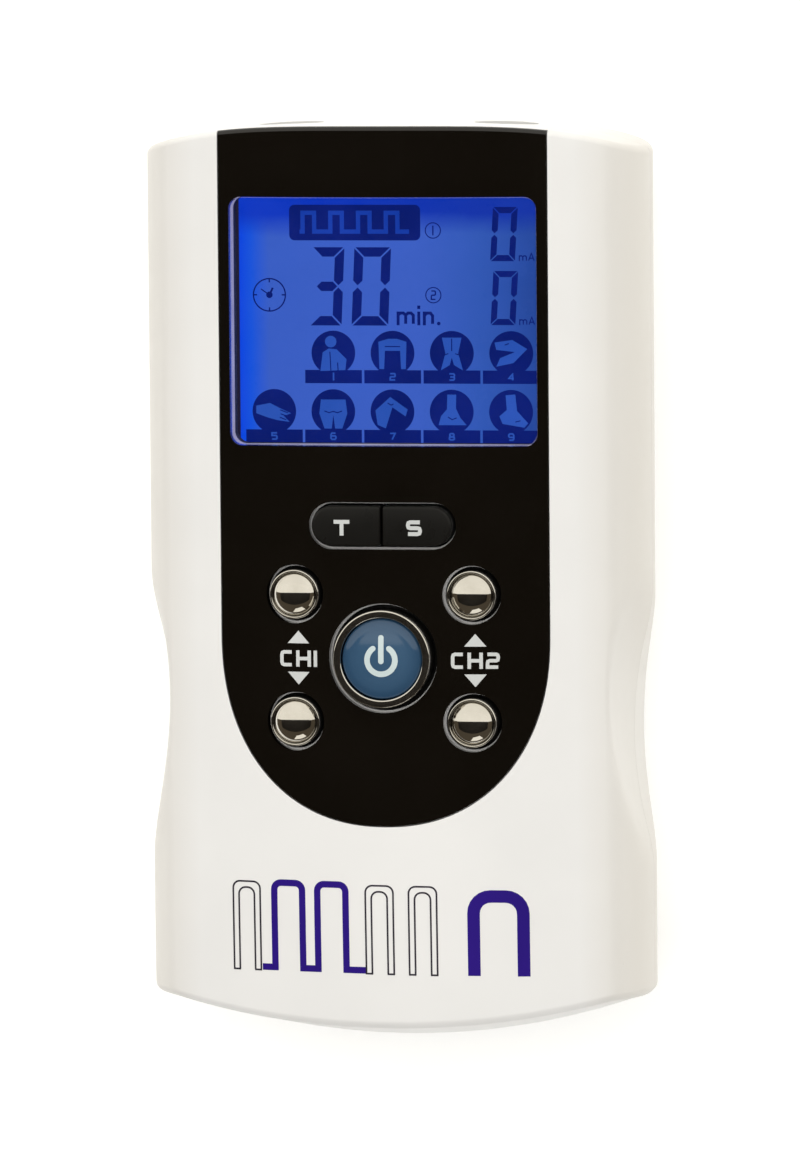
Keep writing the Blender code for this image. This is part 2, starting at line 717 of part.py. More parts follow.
def board_parts():
    """What hangs under the board in the space beside the battery bay."""
    under = BOARD_Z - REST_GAP
    box("microcontroller", (-6, 2, under - 1.6), (6, 14, under), "chip")
    rod("reservoir_capacitor", 4.0, 16.5, 30.5, (0, 0, under - 4.1), "chip", axis="Y", steps=16)
    for name, x in (("ch1_transformer", -12.5), ("ch2_transformer", 12.5)):
        core = box(name, (x - 6, 21, under - 9), (x + 6, 35, under), "ferrite")
        join(core, box(f"{name}_coil", (x - 4, 19.6, under - 7.6), (x + 4, 36.4, under - 1.4)))


def screws():
    low, seat = HEAD_SEAT_Z - 2.1, HEAD_SEAT_Z - 0.15
    for name, (x, y) in CASE_SCREWS.items():
        profile = [(0, low), (2.1, low), (2.1, seat), (SCREW_R, seat), (SCREW_R, 24.6), (0, 25.4)]
        turned(name, profile, (x, y, 0), "steel", steps=14)
    for name, (x, y) in BOARD_SCREWS.items():
        seat = BOARD_Z - REST_GAP
        head = [(0, seat - 1.4), (1.9, seat - 1.4), (1.9, seat)]
        shank = [(BOARD_SCREW_R, seat), (BOARD_SCREW_R, 27.0), (0, 27.6)]
        turned(name, head + shank, (x, y, 0), "steel", steps=12)


# ---------------------------------------------------------------- sockets


def lead_socket(channel, x):
    face_y = top_end(x) - 0.4
    inner_y = face_y - 2.4
    name = f"{channel}_socket"
    body = box(name, (x - 4.6, 44.4, SOCKET_Z - 4.6), (x + 4.6, inner_y, SOCKET_Z + 4.6), "socket_black")
    join(body, rod(f"{name}_nose", 4.0, inner_y - 1, face_y, (x, 0, SOCKET_Z), axis="Y"))
    cut(body, rod(f"{name}_bore", SOCKET_BORE_R, 47.0, 60, (x, 0, SOCKET_Z), axis="Y"))
    cut(body, rod(f"{name}_pin_hole", 1.25, 40, 50, (x, 0, SOCKET_Z), axis="Y", steps=12))
    tip = [(0, 43.6), (1.15, 43.6), (1.15, 51.2), (0.7, 51.8), (0, 52.0)]
    turned(f"{name}_pin", tip, (x, 0, SOCKET_Z), "brass", axis="Y", steps=12)


def adaptor_jack():
    face_x, inner_x = -HALF_W + 0.5, -HALF_W + 3.4
    low, high = (inner_x, DC_Y - 4.4, DC_Z - 4.3), (-20.2, DC_Y + 4.4, DC_Z + 4.3)
    body = box("dc_jack", low, high, "socket_black")
    join(body, rod("dc_nose", 3.8, face_x, inner_x + 1, (0, DC_Y, DC_Z), axis="X"))
    cut(body, rod("dc_bore", DC_BORE_R, -40, -22.8, (0, DC_Y, DC_Z), axis="X"))
    cut(body, rod("dc_pin_hole", 1.1, -25, -15, (0, DC_Y, DC_Z), axis="X", steps=12))
    tip = [(0, -27.6), (0.6, -27.4), (1.0, -26.9), (1.0, -19.6), (0, -19.6)]
    turned("dc_jack_pin", tip, (0, DC_Y, DC_Z), "brass", axis="X", steps=12)


# ---------------------------------------------------------------- battery bay
BAY_FACES = {"top": BAY_TOP_Y, "bottom": BAY_BOTTOM_Y}
SPRING_L = 3.7


def contact_plate(name, end, low_x, high_x, tab_x=None):
    """A spring-steel plate on an end wall. With tab_x it has a tab up to the board."""
    wall = BAY_FACES[end]
    inward = -1 if end == "top" else 1
    near, far = wall + inward * REST_GAP, wall + inward * (REST_GAP + CONTACT_T)
    low_y, high_y = min(near, far), max(near, far)
    plate = box(name, (low_x, low_y, 10.6), (high_x, high_y, 19.2), "steel")
    if tab_x is not None:
        tab_low, tab_high = (tab_x - 1.2, low_y, 19.0), (tab_x + 1.2, high_y, BOARD_Z - REST_GAP)
        join(plate, box(f"{name}_tab", tab_low, tab_high))
    return plate


def cell(name, x, plus_up):
    """An AAA cell. Its nub points to the top end, or to the bottom one."""
    nub_r, nub_h, edge = 1.9, 0.9, 0.35
    body = CELL_L - nub_h
    profile = [
        (0, 0), (CELL_R - edge, 0), (CELL_R, edge), (CELL_R, body - edge), (CELL_R - edge, body),
        (nub_r, body), (nub_r, CELL_L), (0, CELL_L),
    ]
    plate = REST_GAP + CONTACT_T + REST_GAP
    if not plus_up:
        profile = [(r, -h) for r, h in profile]
    tip = BAY_TOP_Y - plate if plus_up else BAY_BOTTOM_Y + plate
    foot = tip - CELL_L if plus_up else tip + CELL_L
    return turned(name, profile, (x, foot, CELL_Z), "cell_jacket", axis="Y", steps=18)


def contact_spring(name, x, end):
    """A conical spring on the plate, pressing on a cell's flat end."""
    wire_d, turns, per_turn = 0.5, 3.3, 10
    inward = -1 if end == "top" else 1
    start = BAY_FACES[end] + inward * (REST_GAP + CONTACT_T + wire_d / 2 + 0.05)
    steps = int(turns * per_turn)
    points = []
    for k in range(steps + 1):
        share = k / steps
        a = 2 * math.pi * turns * share
        radius = 3.7 - 1.3 * share
        rise = (SPRING_L - wire_d) * share
        points.append((x + radius * math.cos(a), start + inward * rise, CELL_Z + radius * math.sin(a)))
    return wire(name, points, wire_d, "steel", sides=0)


def battery_bay():
    first, step = -1.5 * CELL_PITCH, CELL_PITCH
    for k in range(4):
        x = first + k * step
        plus_up = k % 2 == 0
        cell(f"cell_{k + 1}", x, plus_up)
        contact_spring(f"contact_spring_{k + 1}", x, "bottom" if plus_up else "top")
    contact_plate("contact_plus", "top", first - 4.3, first + 4.3, first)
    contact_plate("contact_minus", "top", first + 3 * step - 4.3, first + 3 * step + 4.3, first + 3 * step)
    contact_plate("contact_link_top", "top", first + step - 4.3, first + 2 * step + 4.3)
    contact_plate("contact_link_left", "bottom", first - 4.3, first + step + 4.3)
    contact_plate("contact_link_right", "bottom", first + 2 * step - 4.3, first + 3 * step + 4.3)


def battery_door():
    """A sliding door whose outer end follows the case's curved bottom end."""
    columns = 12
    half = DOOR_HALF_W
    xs = [-half + 2 * half * k / columns for k in range(columns + 1)]
    outline = [(x, bottom_end(x) + 0.15) for x in xs] + [(half, DOOR_TOP_Y), (-half, DOOR_TOP_Y)]
    door = prism("battery_door", outline, BACK_Z, BACK_Z + DOOR_T, "white_plastic")
    origin_at(door, (0, DOOR_TOP_Y, BACK_Z))
    tongue_low = BACK_Z + 0.85
    tongue = (-half - TONGUE, -50.0, tongue_low), (half + TONGUE, DOOR_TOP_Y - 0.6, BACK_Z + DOOR_T - 0.2)
    join(door, box("door_tongues", *tongue))
    for k in range(5):
        y = -46.0 + 1.6 * k
        cut(door, box(f"grip_groove_{k}", (-8, y, BACK_Z - 1), (8, y + 0.8, BACK_Z + 0.4)))
    return door


# ---------------------------------------------------------------- belt clip


def belt_clip():
    """The sprung arm: a flat plate, a hooked tip, a thumb end and two knuckles on the pin."""
    tip = CLIP_TIP_Y
    outline = [
        (CLIP_THUMB_Y - 1.2, 0.0), (tip + 6.0, 0.0), (tip + 3.4, 0.9), (tip + 1.2, 3.0), (tip + 0.1, 5.4),
        (tip + 0.5, 7.0), (tip + 1.6, 7.2), (tip + 2.7, 6.0), (tip + 3.9, 4.0), (tip + 6.0, 2.4),
        (tip + 8.0, CLIP_T), (CLIP_THUMB_Y - 4, CLIP_T), (CLIP_THUMB_Y - 0.6, 2.5), (CLIP_THUMB_Y, 1.6),
        (CLIP_THUMB_Y - 0.2, 0.6),
    ]
    arm = prism("belt_clip", outline, -CLIP_HALF_W, CLIP_HALF_W, "white_plastic", along="X")
    origin_at(arm, (0, CLIP_PIVOT_Y, CLIP_PIVOT_Z))
    pivot = (0, CLIP_PIVOT_Y, CLIP_PIVOT_Z)
    for label, start, end in (("left", -9.6, -6.2), ("right", 6.2, 9.6)):
        web_low, web_high = (start, CLIP_PIVOT_Y - 1.4, CLIP_T - 0.6), (end, CLIP_PIVOT_Y + 1.4, CLIP_PIVOT_Z)
        join(arm, box(f"knuckle_web_{label}", web_low, web_high))
        join(arm, rod(f"knuckle_{label}", 2.0, start, end, pivot, axis="X", steps=16))
    length = CLIP_THUMB_Y - CLIP_TIP_Y
    plan = rounded_rectangle(2 * CLIP_HALF_W, length, 5.0, (0, (CLIP_THUMB_Y + CLIP_TIP_Y) / 2), steps=5)
    combine(arm, prism("clip_plan", plan, -2, 12), "INTERSECT")
    return cut(arm, rod("knuckle_bore", PIN_R + 0.1, -20, 20, pivot, axis="X", steps=16))


def clip_ear(side):
    radius = 2.1
    arc = [math.radians(180 + 180 * k / 10) for k in range(11)]
    outline = [
        (CLIP_PIVOT_Y + radius * math.cos(a), CLIP_PIVOT_Z + radius * math.sin(a)) for a in arc
    ]
    root = BACK_Z - REST_GAP - BRACKET_T / 2
    outline += [(CLIP_PIVOT_Y + radius, root), (CLIP_PIVOT_Y - radius, root)]
    return prism(f"clip_ear_{side + 1}", outline, side * 9.9, side * 12.4, along="X")


def clip_bracket():
    """A steel plate screwed to the back, with the two ears that carry the clip's pin."""
    high = BACK_Z - REST_GAP
    low_corner, high_corner = (-16.3, CLIP_PIVOT_Y - 4.5, high - BRACKET_T), (16.3, CLIP_PIVOT_Y + 4, high)
    bracket = box("clip_bracket", low_corner, high_corner, "steel")
    for side in (-1, 1):
        join(bracket, clip_ear(side))
    pivot = (0, CLIP_PIVOT_Y, CLIP_PIVOT_Z)
    cut(bracket, rod("ear_bore", PIN_R + 0.1, -20, 20, pivot, axis="X", steps=16))
    for k, side in enumerate((-1, 1)):
        spot = (side * BRACKET_SCREW_X, CLIP_PIVOT_Y, 0)
        cut(bracket, rod(f"bracket_hole_{k}", BRACKET_SCREW_R + 0.2, 5, 9, spot, steps=12))
        seat = high - BRACKET_T - REST_GAP
        head = [(0, seat - 1.1), (1.2, seat - 1.1), (1.7, seat - 0.7), (1.7, seat)]
        shank = [(BRACKET_SCREW_R, seat), (BRACKET_SCREW_R, 11.6), (0, 12.1)]
        turned(f"bracket_screw_{k + 1}", head + shank, spot, "steel", steps=12)
    return bracket


def clip_spring():
    """A torsion spring round the pin: one leg on the bracket, one on the arm."""
    wire_d, coil_r, turns, per_turn, leg = 0.6, 1.75, 5, 10, 4.0
    half = 2.6
    points = [(-half, CLIP_PIVOT_Y - leg, CLIP_PIVOT_Z + coil_r)]
    steps = turns * per_turn + per_turn // 2
    for k in range(steps + 1):
        a = math.radians(90) + 2 * math.pi * k / per_turn
        x = -half + 2 * half * k / steps
        points.append((x, CLIP_PIVOT_Y + coil_r * math.cos(a), CLIP_PIVOT_Z + coil_r * math.sin(a)))
    points.append((half, CLIP_PIVOT_Y - leg, CLIP_T + 0.4))
    return wire("clip_spring", points, wire_d, "steel", sides=0)


def main():
    for old in list(bpy.data.objects):
        bpy.data.objects.remove(old)
    front_shell()
    rear_shell()
    front_panel()
    display_window()
    display_stack()
    main_board()
    board_parts()
    keypad()
    for name, (x, y) in BUTTONS.items():
        channel_button(name, x, y)
    power_ring()
    power_cap()
    half_key("timer_key", -1)
    half_key("select_key", 1)
    lead_socket("ch1", -SOCKET_X)
    lead_socket("ch2", SOCKET_X)
    adaptor_jack()
    battery_bay()
    battery_door()
    belt_clip()
    clip_bracket()
    clip_spring()
    rod("clip_pin", PIN_R, -12.3, 12.3, (0, CLIP_PIVOT_Y, CLIP_PIVOT_Z), "steel", axis="X", steps=16)
    screws()


main()
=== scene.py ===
import math

import bmesh
import bpy
from mathutils import Matrix, Vector


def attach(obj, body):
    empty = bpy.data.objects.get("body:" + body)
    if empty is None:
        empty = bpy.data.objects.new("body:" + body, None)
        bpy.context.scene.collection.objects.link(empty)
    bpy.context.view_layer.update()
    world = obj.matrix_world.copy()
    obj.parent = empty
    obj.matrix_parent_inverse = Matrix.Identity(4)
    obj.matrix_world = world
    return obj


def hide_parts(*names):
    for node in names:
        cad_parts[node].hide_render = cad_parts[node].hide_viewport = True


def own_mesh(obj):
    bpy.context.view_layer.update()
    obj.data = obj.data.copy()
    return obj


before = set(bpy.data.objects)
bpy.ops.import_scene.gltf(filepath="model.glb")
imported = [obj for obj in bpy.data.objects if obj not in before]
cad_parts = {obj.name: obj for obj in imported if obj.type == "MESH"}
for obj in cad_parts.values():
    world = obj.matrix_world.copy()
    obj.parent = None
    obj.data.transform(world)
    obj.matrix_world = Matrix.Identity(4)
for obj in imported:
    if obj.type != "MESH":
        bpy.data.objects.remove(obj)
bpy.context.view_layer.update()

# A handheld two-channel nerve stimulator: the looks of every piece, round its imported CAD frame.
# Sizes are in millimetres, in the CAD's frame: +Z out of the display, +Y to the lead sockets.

MM = 0.001

# ---------------------------------------------------------------- sizes shared with the CAD
TOP_Y, FOOT_Y, HALF_W = 58.0, -59.8, 32.5
BACK_Z, APEX_Z, PART_Z, SEAM = 7.5, 32.5, 17.5, 0.1
CROWN_R, CROWN_X = 110.0, 28.0
TOP_DROP, BOTTOM_DROP, BOTTOM_LEAN = 3.3, 6.0, 2.6
NOSE_DROP, NOSE_START, END_ROUND = 1.5, -20.0, 0.8
SCOOP_Y, SCOOP_TILT, SCOOP_DEPTH, SCOOP_R, SCOOP_LEAN, SCOOP_BLEND = -19.9, 0.45, 2.45, 50.0, 0.14, 0.8
WALL, FACE_WALL, GAP = 2.0, 2.8, 0.15
PANEL_T, PANEL_HALF_W, PANEL_ROUND_Y, PANEL_BOTTOM_Y, PANEL_FULLNESS = 1.2, 21.15, -6.95, -31.2, 2.2
WINDOW_Y, WINDOW_W, WINDOW_H, WINDOW_R = 33.15, 39.7, 31.7, 1.6
BUTTON_X, BUTTON_HOLE_R = 11.45, 3.75
POWER_Y, POWER_R, POWER_HOLE_R, POWER_CAP_R = -9.7, 6.25, 7.0, 5.15
KEY_Y, KEY_SLOT_HALF, KEY_SLOT_R, KEY_MARGIN, KEY_SPLIT = 7.2, 9.5, 3.0, 0.45, 0.25
BOARD_TOP, LCD_TOP = 23.9, 25.5
KEYPAD_Z, KEYPAD_T, FLANGE_T, PRESS = 24.0, 1.0, 0.8, 1.0
CELL_R, CELL_L, CELL_PITCH, CELL_Z = 5.2, 44.5, 11.5, 14.9
BAY_HALF_W, BAY_BOTTOM_Y, BAY_TOP_Y, BAY_ROOF_Z, BAY_WALL = 23.2, -51.8, -2.2, 20.5, 1.1
DOOR_HALF_W, DOOR_T, DOOR_TOP_Y, TONGUE = 24.2, 1.8, -1.2, 0.8
SOCKET_X, SOCKET_Z, SOCKET_BORE_R = 14.0, 17.5, 3.2
DC_Y, DC_Z, DC_BORE_R = 30.0, 17.5, 3.1
BOSS_X, BOSS_Y, BOSS_R, POST_R, HEAD_SEAT_Z = 27.2, 49.0, 2.7, 2.2, 11.0
CLIP_HALF_W, CLIP_T, CLIP_PIVOT_Y, CLIP_PIVOT_Z, CLIP_TIP_Y, CLIP_THUMB_Y = 12.0, 2.0, 26.0, 4.6, -26.0, 37.0
PIN_R = 0.95

BUTTONS = {
    "ch1_up_button": (-BUTTON_X, -1.6),
    "ch1_down_button": (-BUTTON_X, -17.9),
    "ch2_up_button": (BUTTON_X, -1.6),
    "ch2_down_button": (BUTTON_X, -17.9),
}
CASE_SCREWS = [(-BOSS_X, BOSS_Y), (BOSS_X, BOSS_Y), (-BOSS_X, -BOSS_Y), (BOSS_X, -BOSS_Y)]
BRACKET_SCREWS = [(-14.3, CLIP_PIVOT_Y), (14.3, CLIP_PIVOT_Y)]
BOARD_POSTS = [(-23.6, 9.5), (23.6, 9.5)]


# ---------------------------------------------------------------- materials
class Look:
    """A material in the making: its node tree and its Principled shader."""

    def __init__(self, name):
        self.made = bpy.data.materials.new(name)
        self.made.use_nodes = True
        self.tree = self.made.node_tree
        self.shader = self.tree.nodes["Principled BSDF"]

    def plug(self, socket, value):
        if isinstance(value, bpy.types.NodeSocket):
            self.tree.links.new(value, socket)
        else:
            socket.default_value = value

    def node(self, kind, inputs, **settings):
        """Adds a node. An input is a plain value or another node's output."""
        made = self.tree.nodes.new("ShaderNode" + kind)
        for key, value in settings.items():
            setattr(made, key, value)
        for key, value in inputs.items():
            self.plug(made.inputs[key], value)
        return made

    def set(self, **sockets):
        """Sets or links the shader's own sockets, and returns the material."""
        for name, value in sockets.items():
            self.plug(self.shader.inputs[name.replace("_", " ")], value)
        return self.made

    def where(self):
        return self.node("TexCoord", {}).outputs["Object"]

    def axis(self, name, vector=None):
        return self.node("SeparateXYZ", {0: vector or self.where()}).outputs[name]

    def noise(self, per_mm, detail=3.0):
        """Noise with so many features a millimetre, from 0 to 1."""
        inputs = {"Vector": self.where(), "Scale": per_mm / MM, "Detail": detail}
        return self.node("TexNoise", inputs).outputs["Fac"]

    def factor(self, source):
        """A socket as it is, or noise with so many features a millimetre."""
        return source if isinstance(source, bpy.types.NodeSocket) else self.noise(source)

    def ramp(self, source, *stops):
        made = self.node("ValToRGB", {"Fac": self.factor(source)})
        band = made.color_ramp
        while len(band.elements) < len(stops):
            band.elements.new(0.5)
        for slot, (position, colour) in zip(band.elements, stops):
            slot.position, slot.color = position, (*colour, 1.0)
        return made.outputs["Color"]

    def mottled(self, source, dark, light, edge=0.3):
        return self.ramp(source, (edge, dark), (1 - edge, light))

    def spread(self, source, low, high, out_low, out_high):
        """Maps a value from one range to another, held inside it."""
        inputs = {0: self.factor(source), 1: low, 2: high, 3: out_low, 4: out_high}
        return self.node("MapRange", inputs).outputs[0]

    def math(self, operation, a, b=0.0):
        return self.node("Math", {0: a, 1: b}, operation=operation).outputs[0]

    def blend(self, factor, a, b):
        """From a colour socket to a plain colour or another socket."""
        b = b if isinstance(b, bpy.types.NodeSocket) else (*b, 1.0)
        return self.node("Mix", {0: factor, 6: a, 7: b}, data_type="RGBA").outputs[2]

    def rough(self, source, low, high):
        self.set(Roughness=self.spread(source, 0.3, 0.7, low, high))

    def bump(self, height, depth_mm):
        made = self.node("Bump", {"Height": height, "Strength": 1.0, "Distance": depth_mm * MM})
        self.set(Normal=made.outputs["Normal"])


def moulded(name, dark, light, rough, grain_mm, depth_mm, blotch=0.05, specular=0.5):
    """A moulded plastic: slow shifts of colour, patchy gloss and a fine grain."""
    m = Look(name)
    m.rough(0.4, *rough)
    m.bump(m.noise(1 / grain_mm, 2.0), depth_mm)
    return m.set(Base_Color=m.mottled(blotch, dark, light, 0.35), Specular_IOR_Level=specular)


def glowing(name, per_mm, glow, base, rough, rough_per_mm=0.5, strength=1.0, specular=0.5):
    """A glowing surface, with a pair of colours for its glow and one for itself. Most are lit from behind; on
    the display liner the glow is painted light.
    """
    m = Look(name)
    patchy = m.noise(per_mm)
    m.rough(rough_per_mm, *rough)
    m.set(Emission_Color=m.mottled(patchy, *glow), Emission_Strength=strength)
    return m.set(Base_Color=m.mottled(patchy, *base), Specular_IOR_Level=specular)


def segment(name, dark, light):
    """A mark on the display, which glows as far as the light behind it gets through."""
    base = (0.001, 0.002, 0.006), (0.002, 0.003, 0.009)
    return glowing(name, 0.12, (dark, light), base, (0.4, 0.5), specular=0.06)


def white_case():
    """White satin plastic, with painted shade down both sides that makes them a little darker and warmer."""
    m = Look("white_case")
    body = m.mottled(0.05, (0.815, 0.813, 0.812), (0.845, 0.843, 0.842), 0.35)
    # Painted shade: from 24.5 mm out to the edges the colour turns darker and warmer, in place of the shade
    # the sides get.
    side = m.spread(m.math("ABSOLUTE", m.axis("X")), 0.0245, 0.0325, 0.0, 0.75)
    m.rough(0.5, 0.30, 0.38)
    m.bump(m.noise(1.6, 2.0), 0.004)
    return m.set(Base_Color=m.blend(side, body, (0.690, 0.655, 0.600)))


def black_panel():
    """High-gloss black with a few specks of dust."""
    m = Look("black_panel")
    base = m.mottled(0.06, (0.0040, 0.0029, 0.0018), (0.0056, 0.0042, 0.0028))
    cells = m.node("TexVoronoi", {"Vector": m.where(), "Scale": 0.16 / MM})
    near = m.math("LESS_THAN", cells.outputs["Distance"], 0.016)
    chosen = m.math("GREATER_THAN", m.axis("X", cells.outputs["Color"]), 0.62)
    m.rough(0.25, 0.05, 0.09)
    m.bump(m.noise(3.0, 1.0), 0.0004)
    return m.set(Base_Color=m.blend(m.math("MULTIPLY", near, chosen), base, (0.22, 0.20, 0.17)))


def plated():
    """Nickel-bright plating, with the faint haze that fingers leave."""
    m = Look("plated")
    m.bump(m.noise(1.5, 1.0), 0.0006)
    m.set(Metallic=1.0, Roughness=m.spread(m.noise(0.9, 4.0), 0.35, 0.75, 0.035, 0.085))
    return m.set(Base_Color=m.mottled(0.3, (0.60, 0.57, 0.51), (0.68, 0.65, 0.59)))


def metal(name, dark, light, rough):
    m = Look(name)
    grain = m.noise(1.2)
    m.rough(grain, *rough)
    m.bump(grain, 0.001)
    return m.set(Metallic=1.0, Base_Color=m.mottled(grain, dark, light))


def blue_cap():
    """A glossy steel-blue cap, a little deeper in colour towards its edge."""
    m = Look("blue_cap")
    moved = m.node("VectorMath", {0: m.where(), 1: (0, -POWER_Y * MM, 0)}, operation="ADD")
    flat = m.node("VectorMath", {0: moved.outputs[0], 1: (1, 1, 0)}, operation="MULTIPLY")
    out = m.node("VectorMath", {0: flat.outputs[0]}, operation="LENGTH").outputs["Value"]
    deeper = m.spread(out, 0.0030, 0.0052, 0.0, 0.8)
    centre = m.mottled(0.2, (0.036, 0.088, 0.165), (0.044, 0.100, 0.182))
    m.rough(0.5, 0.08, 0.13)
    m.bump(m.noise(1.2, 1.0), 0.001)
    return m.set(Base_Color=m.blend(deeper, centre, (0.020, 0.058, 0.120)))


def pane():
    """The clear window: it lets light straight through and mirrors a little at a slant."""
    m = Look("clear_pane")
    m.tree.nodes.remove(m.shader)
    through = m.node("BsdfTransparent", {"Color": m.mottled(0.05, (0.93, 0.95, 0.98), (0.96, 0.97, 1.0))})
    mirror = m.node("BsdfGlossy", {"Roughness": m.spread(0.3, 0.3, 0.7, 0.02, 0.05)})
    slant = m.node("LayerWeight", {"Blend": 0.5}).outputs["Facing"]
    share = m.spread(m.math("POWER", slant, 5.0), 0.0, 1.0, 0.025, 0.9)
    both = m.node("MixShader", {0: share, 1: through.outputs[0], 2: mirror.outputs[0]})
    m.plug(m.tree.nodes["Material Output"].inputs["Surface"], both.outputs[0])
    return m.made


def lit_display():
    """The back-lit glass: blue, brighter down its left edge, deeper along its top, with a dark border."""
    m = Look("lit_display")
    x, y = m.axis("X"), m.axis("Y")
    across = m.spread(x, -0.0195, 0.0190, 0.0, 1.0)
    along = m.ramp(
        across, (0.0, (0.000, 0.060, 0.78)), (0.04, (0.004, 0.092, 0.74)), (0.10, (0.044, 0.119, 0.56)),
        (0.60, (0.048, 0.122, 0.55)), (0.82, (0.030, 0.100, 0.45)), (1.0, (0.018, 0.066, 0.32)),
    )
    top = m.ramp(
        across, (0.0, (0.000, 0.036, 0.56)), (0.4, (0.001, 0.032, 0.46)), (1.0, (0.003, 0.028, 0.36)))
    wavy = m.math("ADD", y, m.spread(0.08, 0.3, 0.7, -0.0006, 0.0006))
    colour = m.blend(m.spread(wavy, 0.0440, 0.0468, 0.0, 1.0), along, top)
    colour = m.blend(m.spread(m.noise(0.15, 2.0), 0.3, 0.7, 0.0, 0.10), colour, (0.050, 0.150, 0.75))
    colour = m.blend(m.math("LESS_THAN", x, -0.0195), colour, (0.014, 0.011, 0.028))
    m.rough(0.3, 0.25, 0.35)
    m.set(Emission_Color=colour, Emission_Strength=1.0, Specular_IOR_Level=0.06)
    return m.set(Base_Color=m.mottled(0.2, (0.004, 0.005, 0.012), (0.006, 0.007, 0.016)))


def circuit_board():
    """Green lacquer over copper, which shows as lighter tracks and pads."""
    m = Look("circuit_board")
    grid = {"Vector": m.where(), "Scale": 0.22 / MM, "Mortar Size": 0.03, "Mortar Smooth": 0.1}
    tracks = m.node("TexBrick", grid).outputs["Fac"]
    spots = m.node("TexVoronoi", {"Vector": m.where(), "Scale": 0.35 / MM}).outputs["Distance"]
    green = m.mottled(0.1, (0.012, 0.100, 0.038), (0.018, 0.130, 0.050))
    tracked = m.blend(m.math("MULTIPLY", tracks, 0.6), green, (0.05, 0.26, 0.11))
    m.rough(0.5, 0.35, 0.5)
    m.bump(tracks, 0.03)
    return m.set(Base_Color=m.blend(m.math("LESS_THAN", spots, 0.16), tracked, (0.55, 0.55, 0.52)))


def cell_jacket():
    """A printed sleeve with a coloured band towards the positive end, and bare metal at both ends."""
    m = Look("cell_jacket")
    along, grain = m.axis("Z"), m.noise(0.6)
    body = m.mottled(grain, (0.020, 0.030, 0.045), (0.028, 0.040, 0.058))
    printed = m.blend(m.math("GREATER_THAN", along, 0.0325), body, (0.55, 0.27, 0.07))
    bare = m.math("ADD", m.math("LESS_THAN", along, 0.0006), m.math("GREATER_THAN", along, 0.0431))
    m.rough(grain, 0.22, 0.34)
    m.bump(m.noise(2.0, 2.0), 0.004)
    return m.set(Base_Color=m.blend(bare, printed, (0.62, 0.61, 0.58)), Metallic=bare)


def coil_winding():
    """A ferrite core with a varnished winding showing as fine ribs."""
    m = Look("wound_core")
    ribs = m.node("TexWave", {"Vector": m.where(), "Scale": 0.35 / MM, "Distortion": 0.4}).outputs["Fac"]
    m.rough(0.5, 0.45, 0.65)
    m.bump(ribs, 0.05)
    return m.set(Base_Color=m.mottled(ribs, (0.030, 0.028, 0.027), (0.070, 0.062, 0.055), 0.2))


WHITE = white_case()
BLACK = black_panel()
CHROME = plated()
STEEL = metal("steel", (0.48, 0.48, 0.47), (0.62, 0.62, 0.61), (0.22, 0.38))
BRASS = metal("brass", (0.72, 0.52, 0.22), (0.84, 0.64, 0.30), (0.20, 0.32))
CAP = blue_cap()
PANE = pane()
KEY = moulded(
    "dark_key", (0.0075, 0.0070, 0.0062), (0.0105, 0.0098, 0.0088), (0.26, 0.34), 0.25, 0.002, specular=0.16)
LEGEND = moulded("legend_ink", (0.56, 0.58, 0.58), (0.66, 0.68, 0.68), (0.45, 0.6), 0.2, 0.002)
CAP_INK = moulded("cap_ink", (0.56, 0.66, 0.68), (0.62, 0.72, 0.74), (0.4, 0.5), 0.2, 0.002)
INDIGO = moulded(
    "indigo_ink", (0.018, 0.004, 0.180), (0.025, 0.006, 0.220), (0.4, 0.5), 0.2, 0.002, specular=0.12)
OUTLINE = moulded("outline_ink", (0.010, 0.007, 0.016), (0.018, 0.012, 0.026), (0.4, 0.5), 0.2, 0.002)
LCD = lit_display()
LCD_MARK = segment("display_mark", (0.0006, 0.0085, 0.140), (0.0016, 0.0115, 0.185))
LCD_FAINT = segment("display_faint", (0.022, 0.088, 0.44), (0.030, 0.102, 0.50))
LCD_BANNER = segment("display_banner_line", (0.006, 0.042, 0.36), (0.010, 0.052, 0.42))
MILKY = (0.42, 0.38, 0.44), (0.52, 0.48, 0.52)
# The liner's milky glow is painted light: the window's shaft wall catching the light, though it is no lamp.
PAINTED_GLOW_LINER = glowing("pale_liner_painted_glow", 0.3, MILKY, MILKY, (0.4, 0.5), strength=0.45)
HOLDER = moulded("display_holder", (0.70, 0.70, 0.72), (0.78, 0.78, 0.80), (0.4, 0.5), 0.4, 0.003)
SILICONE = moulded("silicone", (0.22, 0.23, 0.25), (0.28, 0.29, 0.31), (0.6, 0.75), 0.3, 0.006)
RUBBER = moulded("zebra_rubber", (0.03, 0.03, 0.03), (0.10, 0.09, 0.10), (0.6, 0.8), 0.1, 0.01, blotch=4.0)
BOARD = circuit_board()
CHIP = moulded("chip_epoxy", (0.014, 0.014, 0.015), (0.022, 0.022, 0.023), (0.45, 0.6), 0.15, 0.01)
WOUND = coil_winding()
SOCKET = moulded("socket_black", (0.010, 0.010, 0.011), (0.018, 0.018, 0.019), (0.3, 0.42), 0.3, 0.004)
JACKET = cell_jacket()


# ---------------------------------------------------------------- mesh helpers
def put(name, data):
    obj = bpy.data.objects.new(name, data)
    bpy.context.scene.collection.objects.link(obj)
    return obj


def fit(obj, replaced=None, body="case"):
    """Says which CAD node a piece replaces and what it moves with."""
    if replaced:
        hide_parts(replaced)
    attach(obj, body)


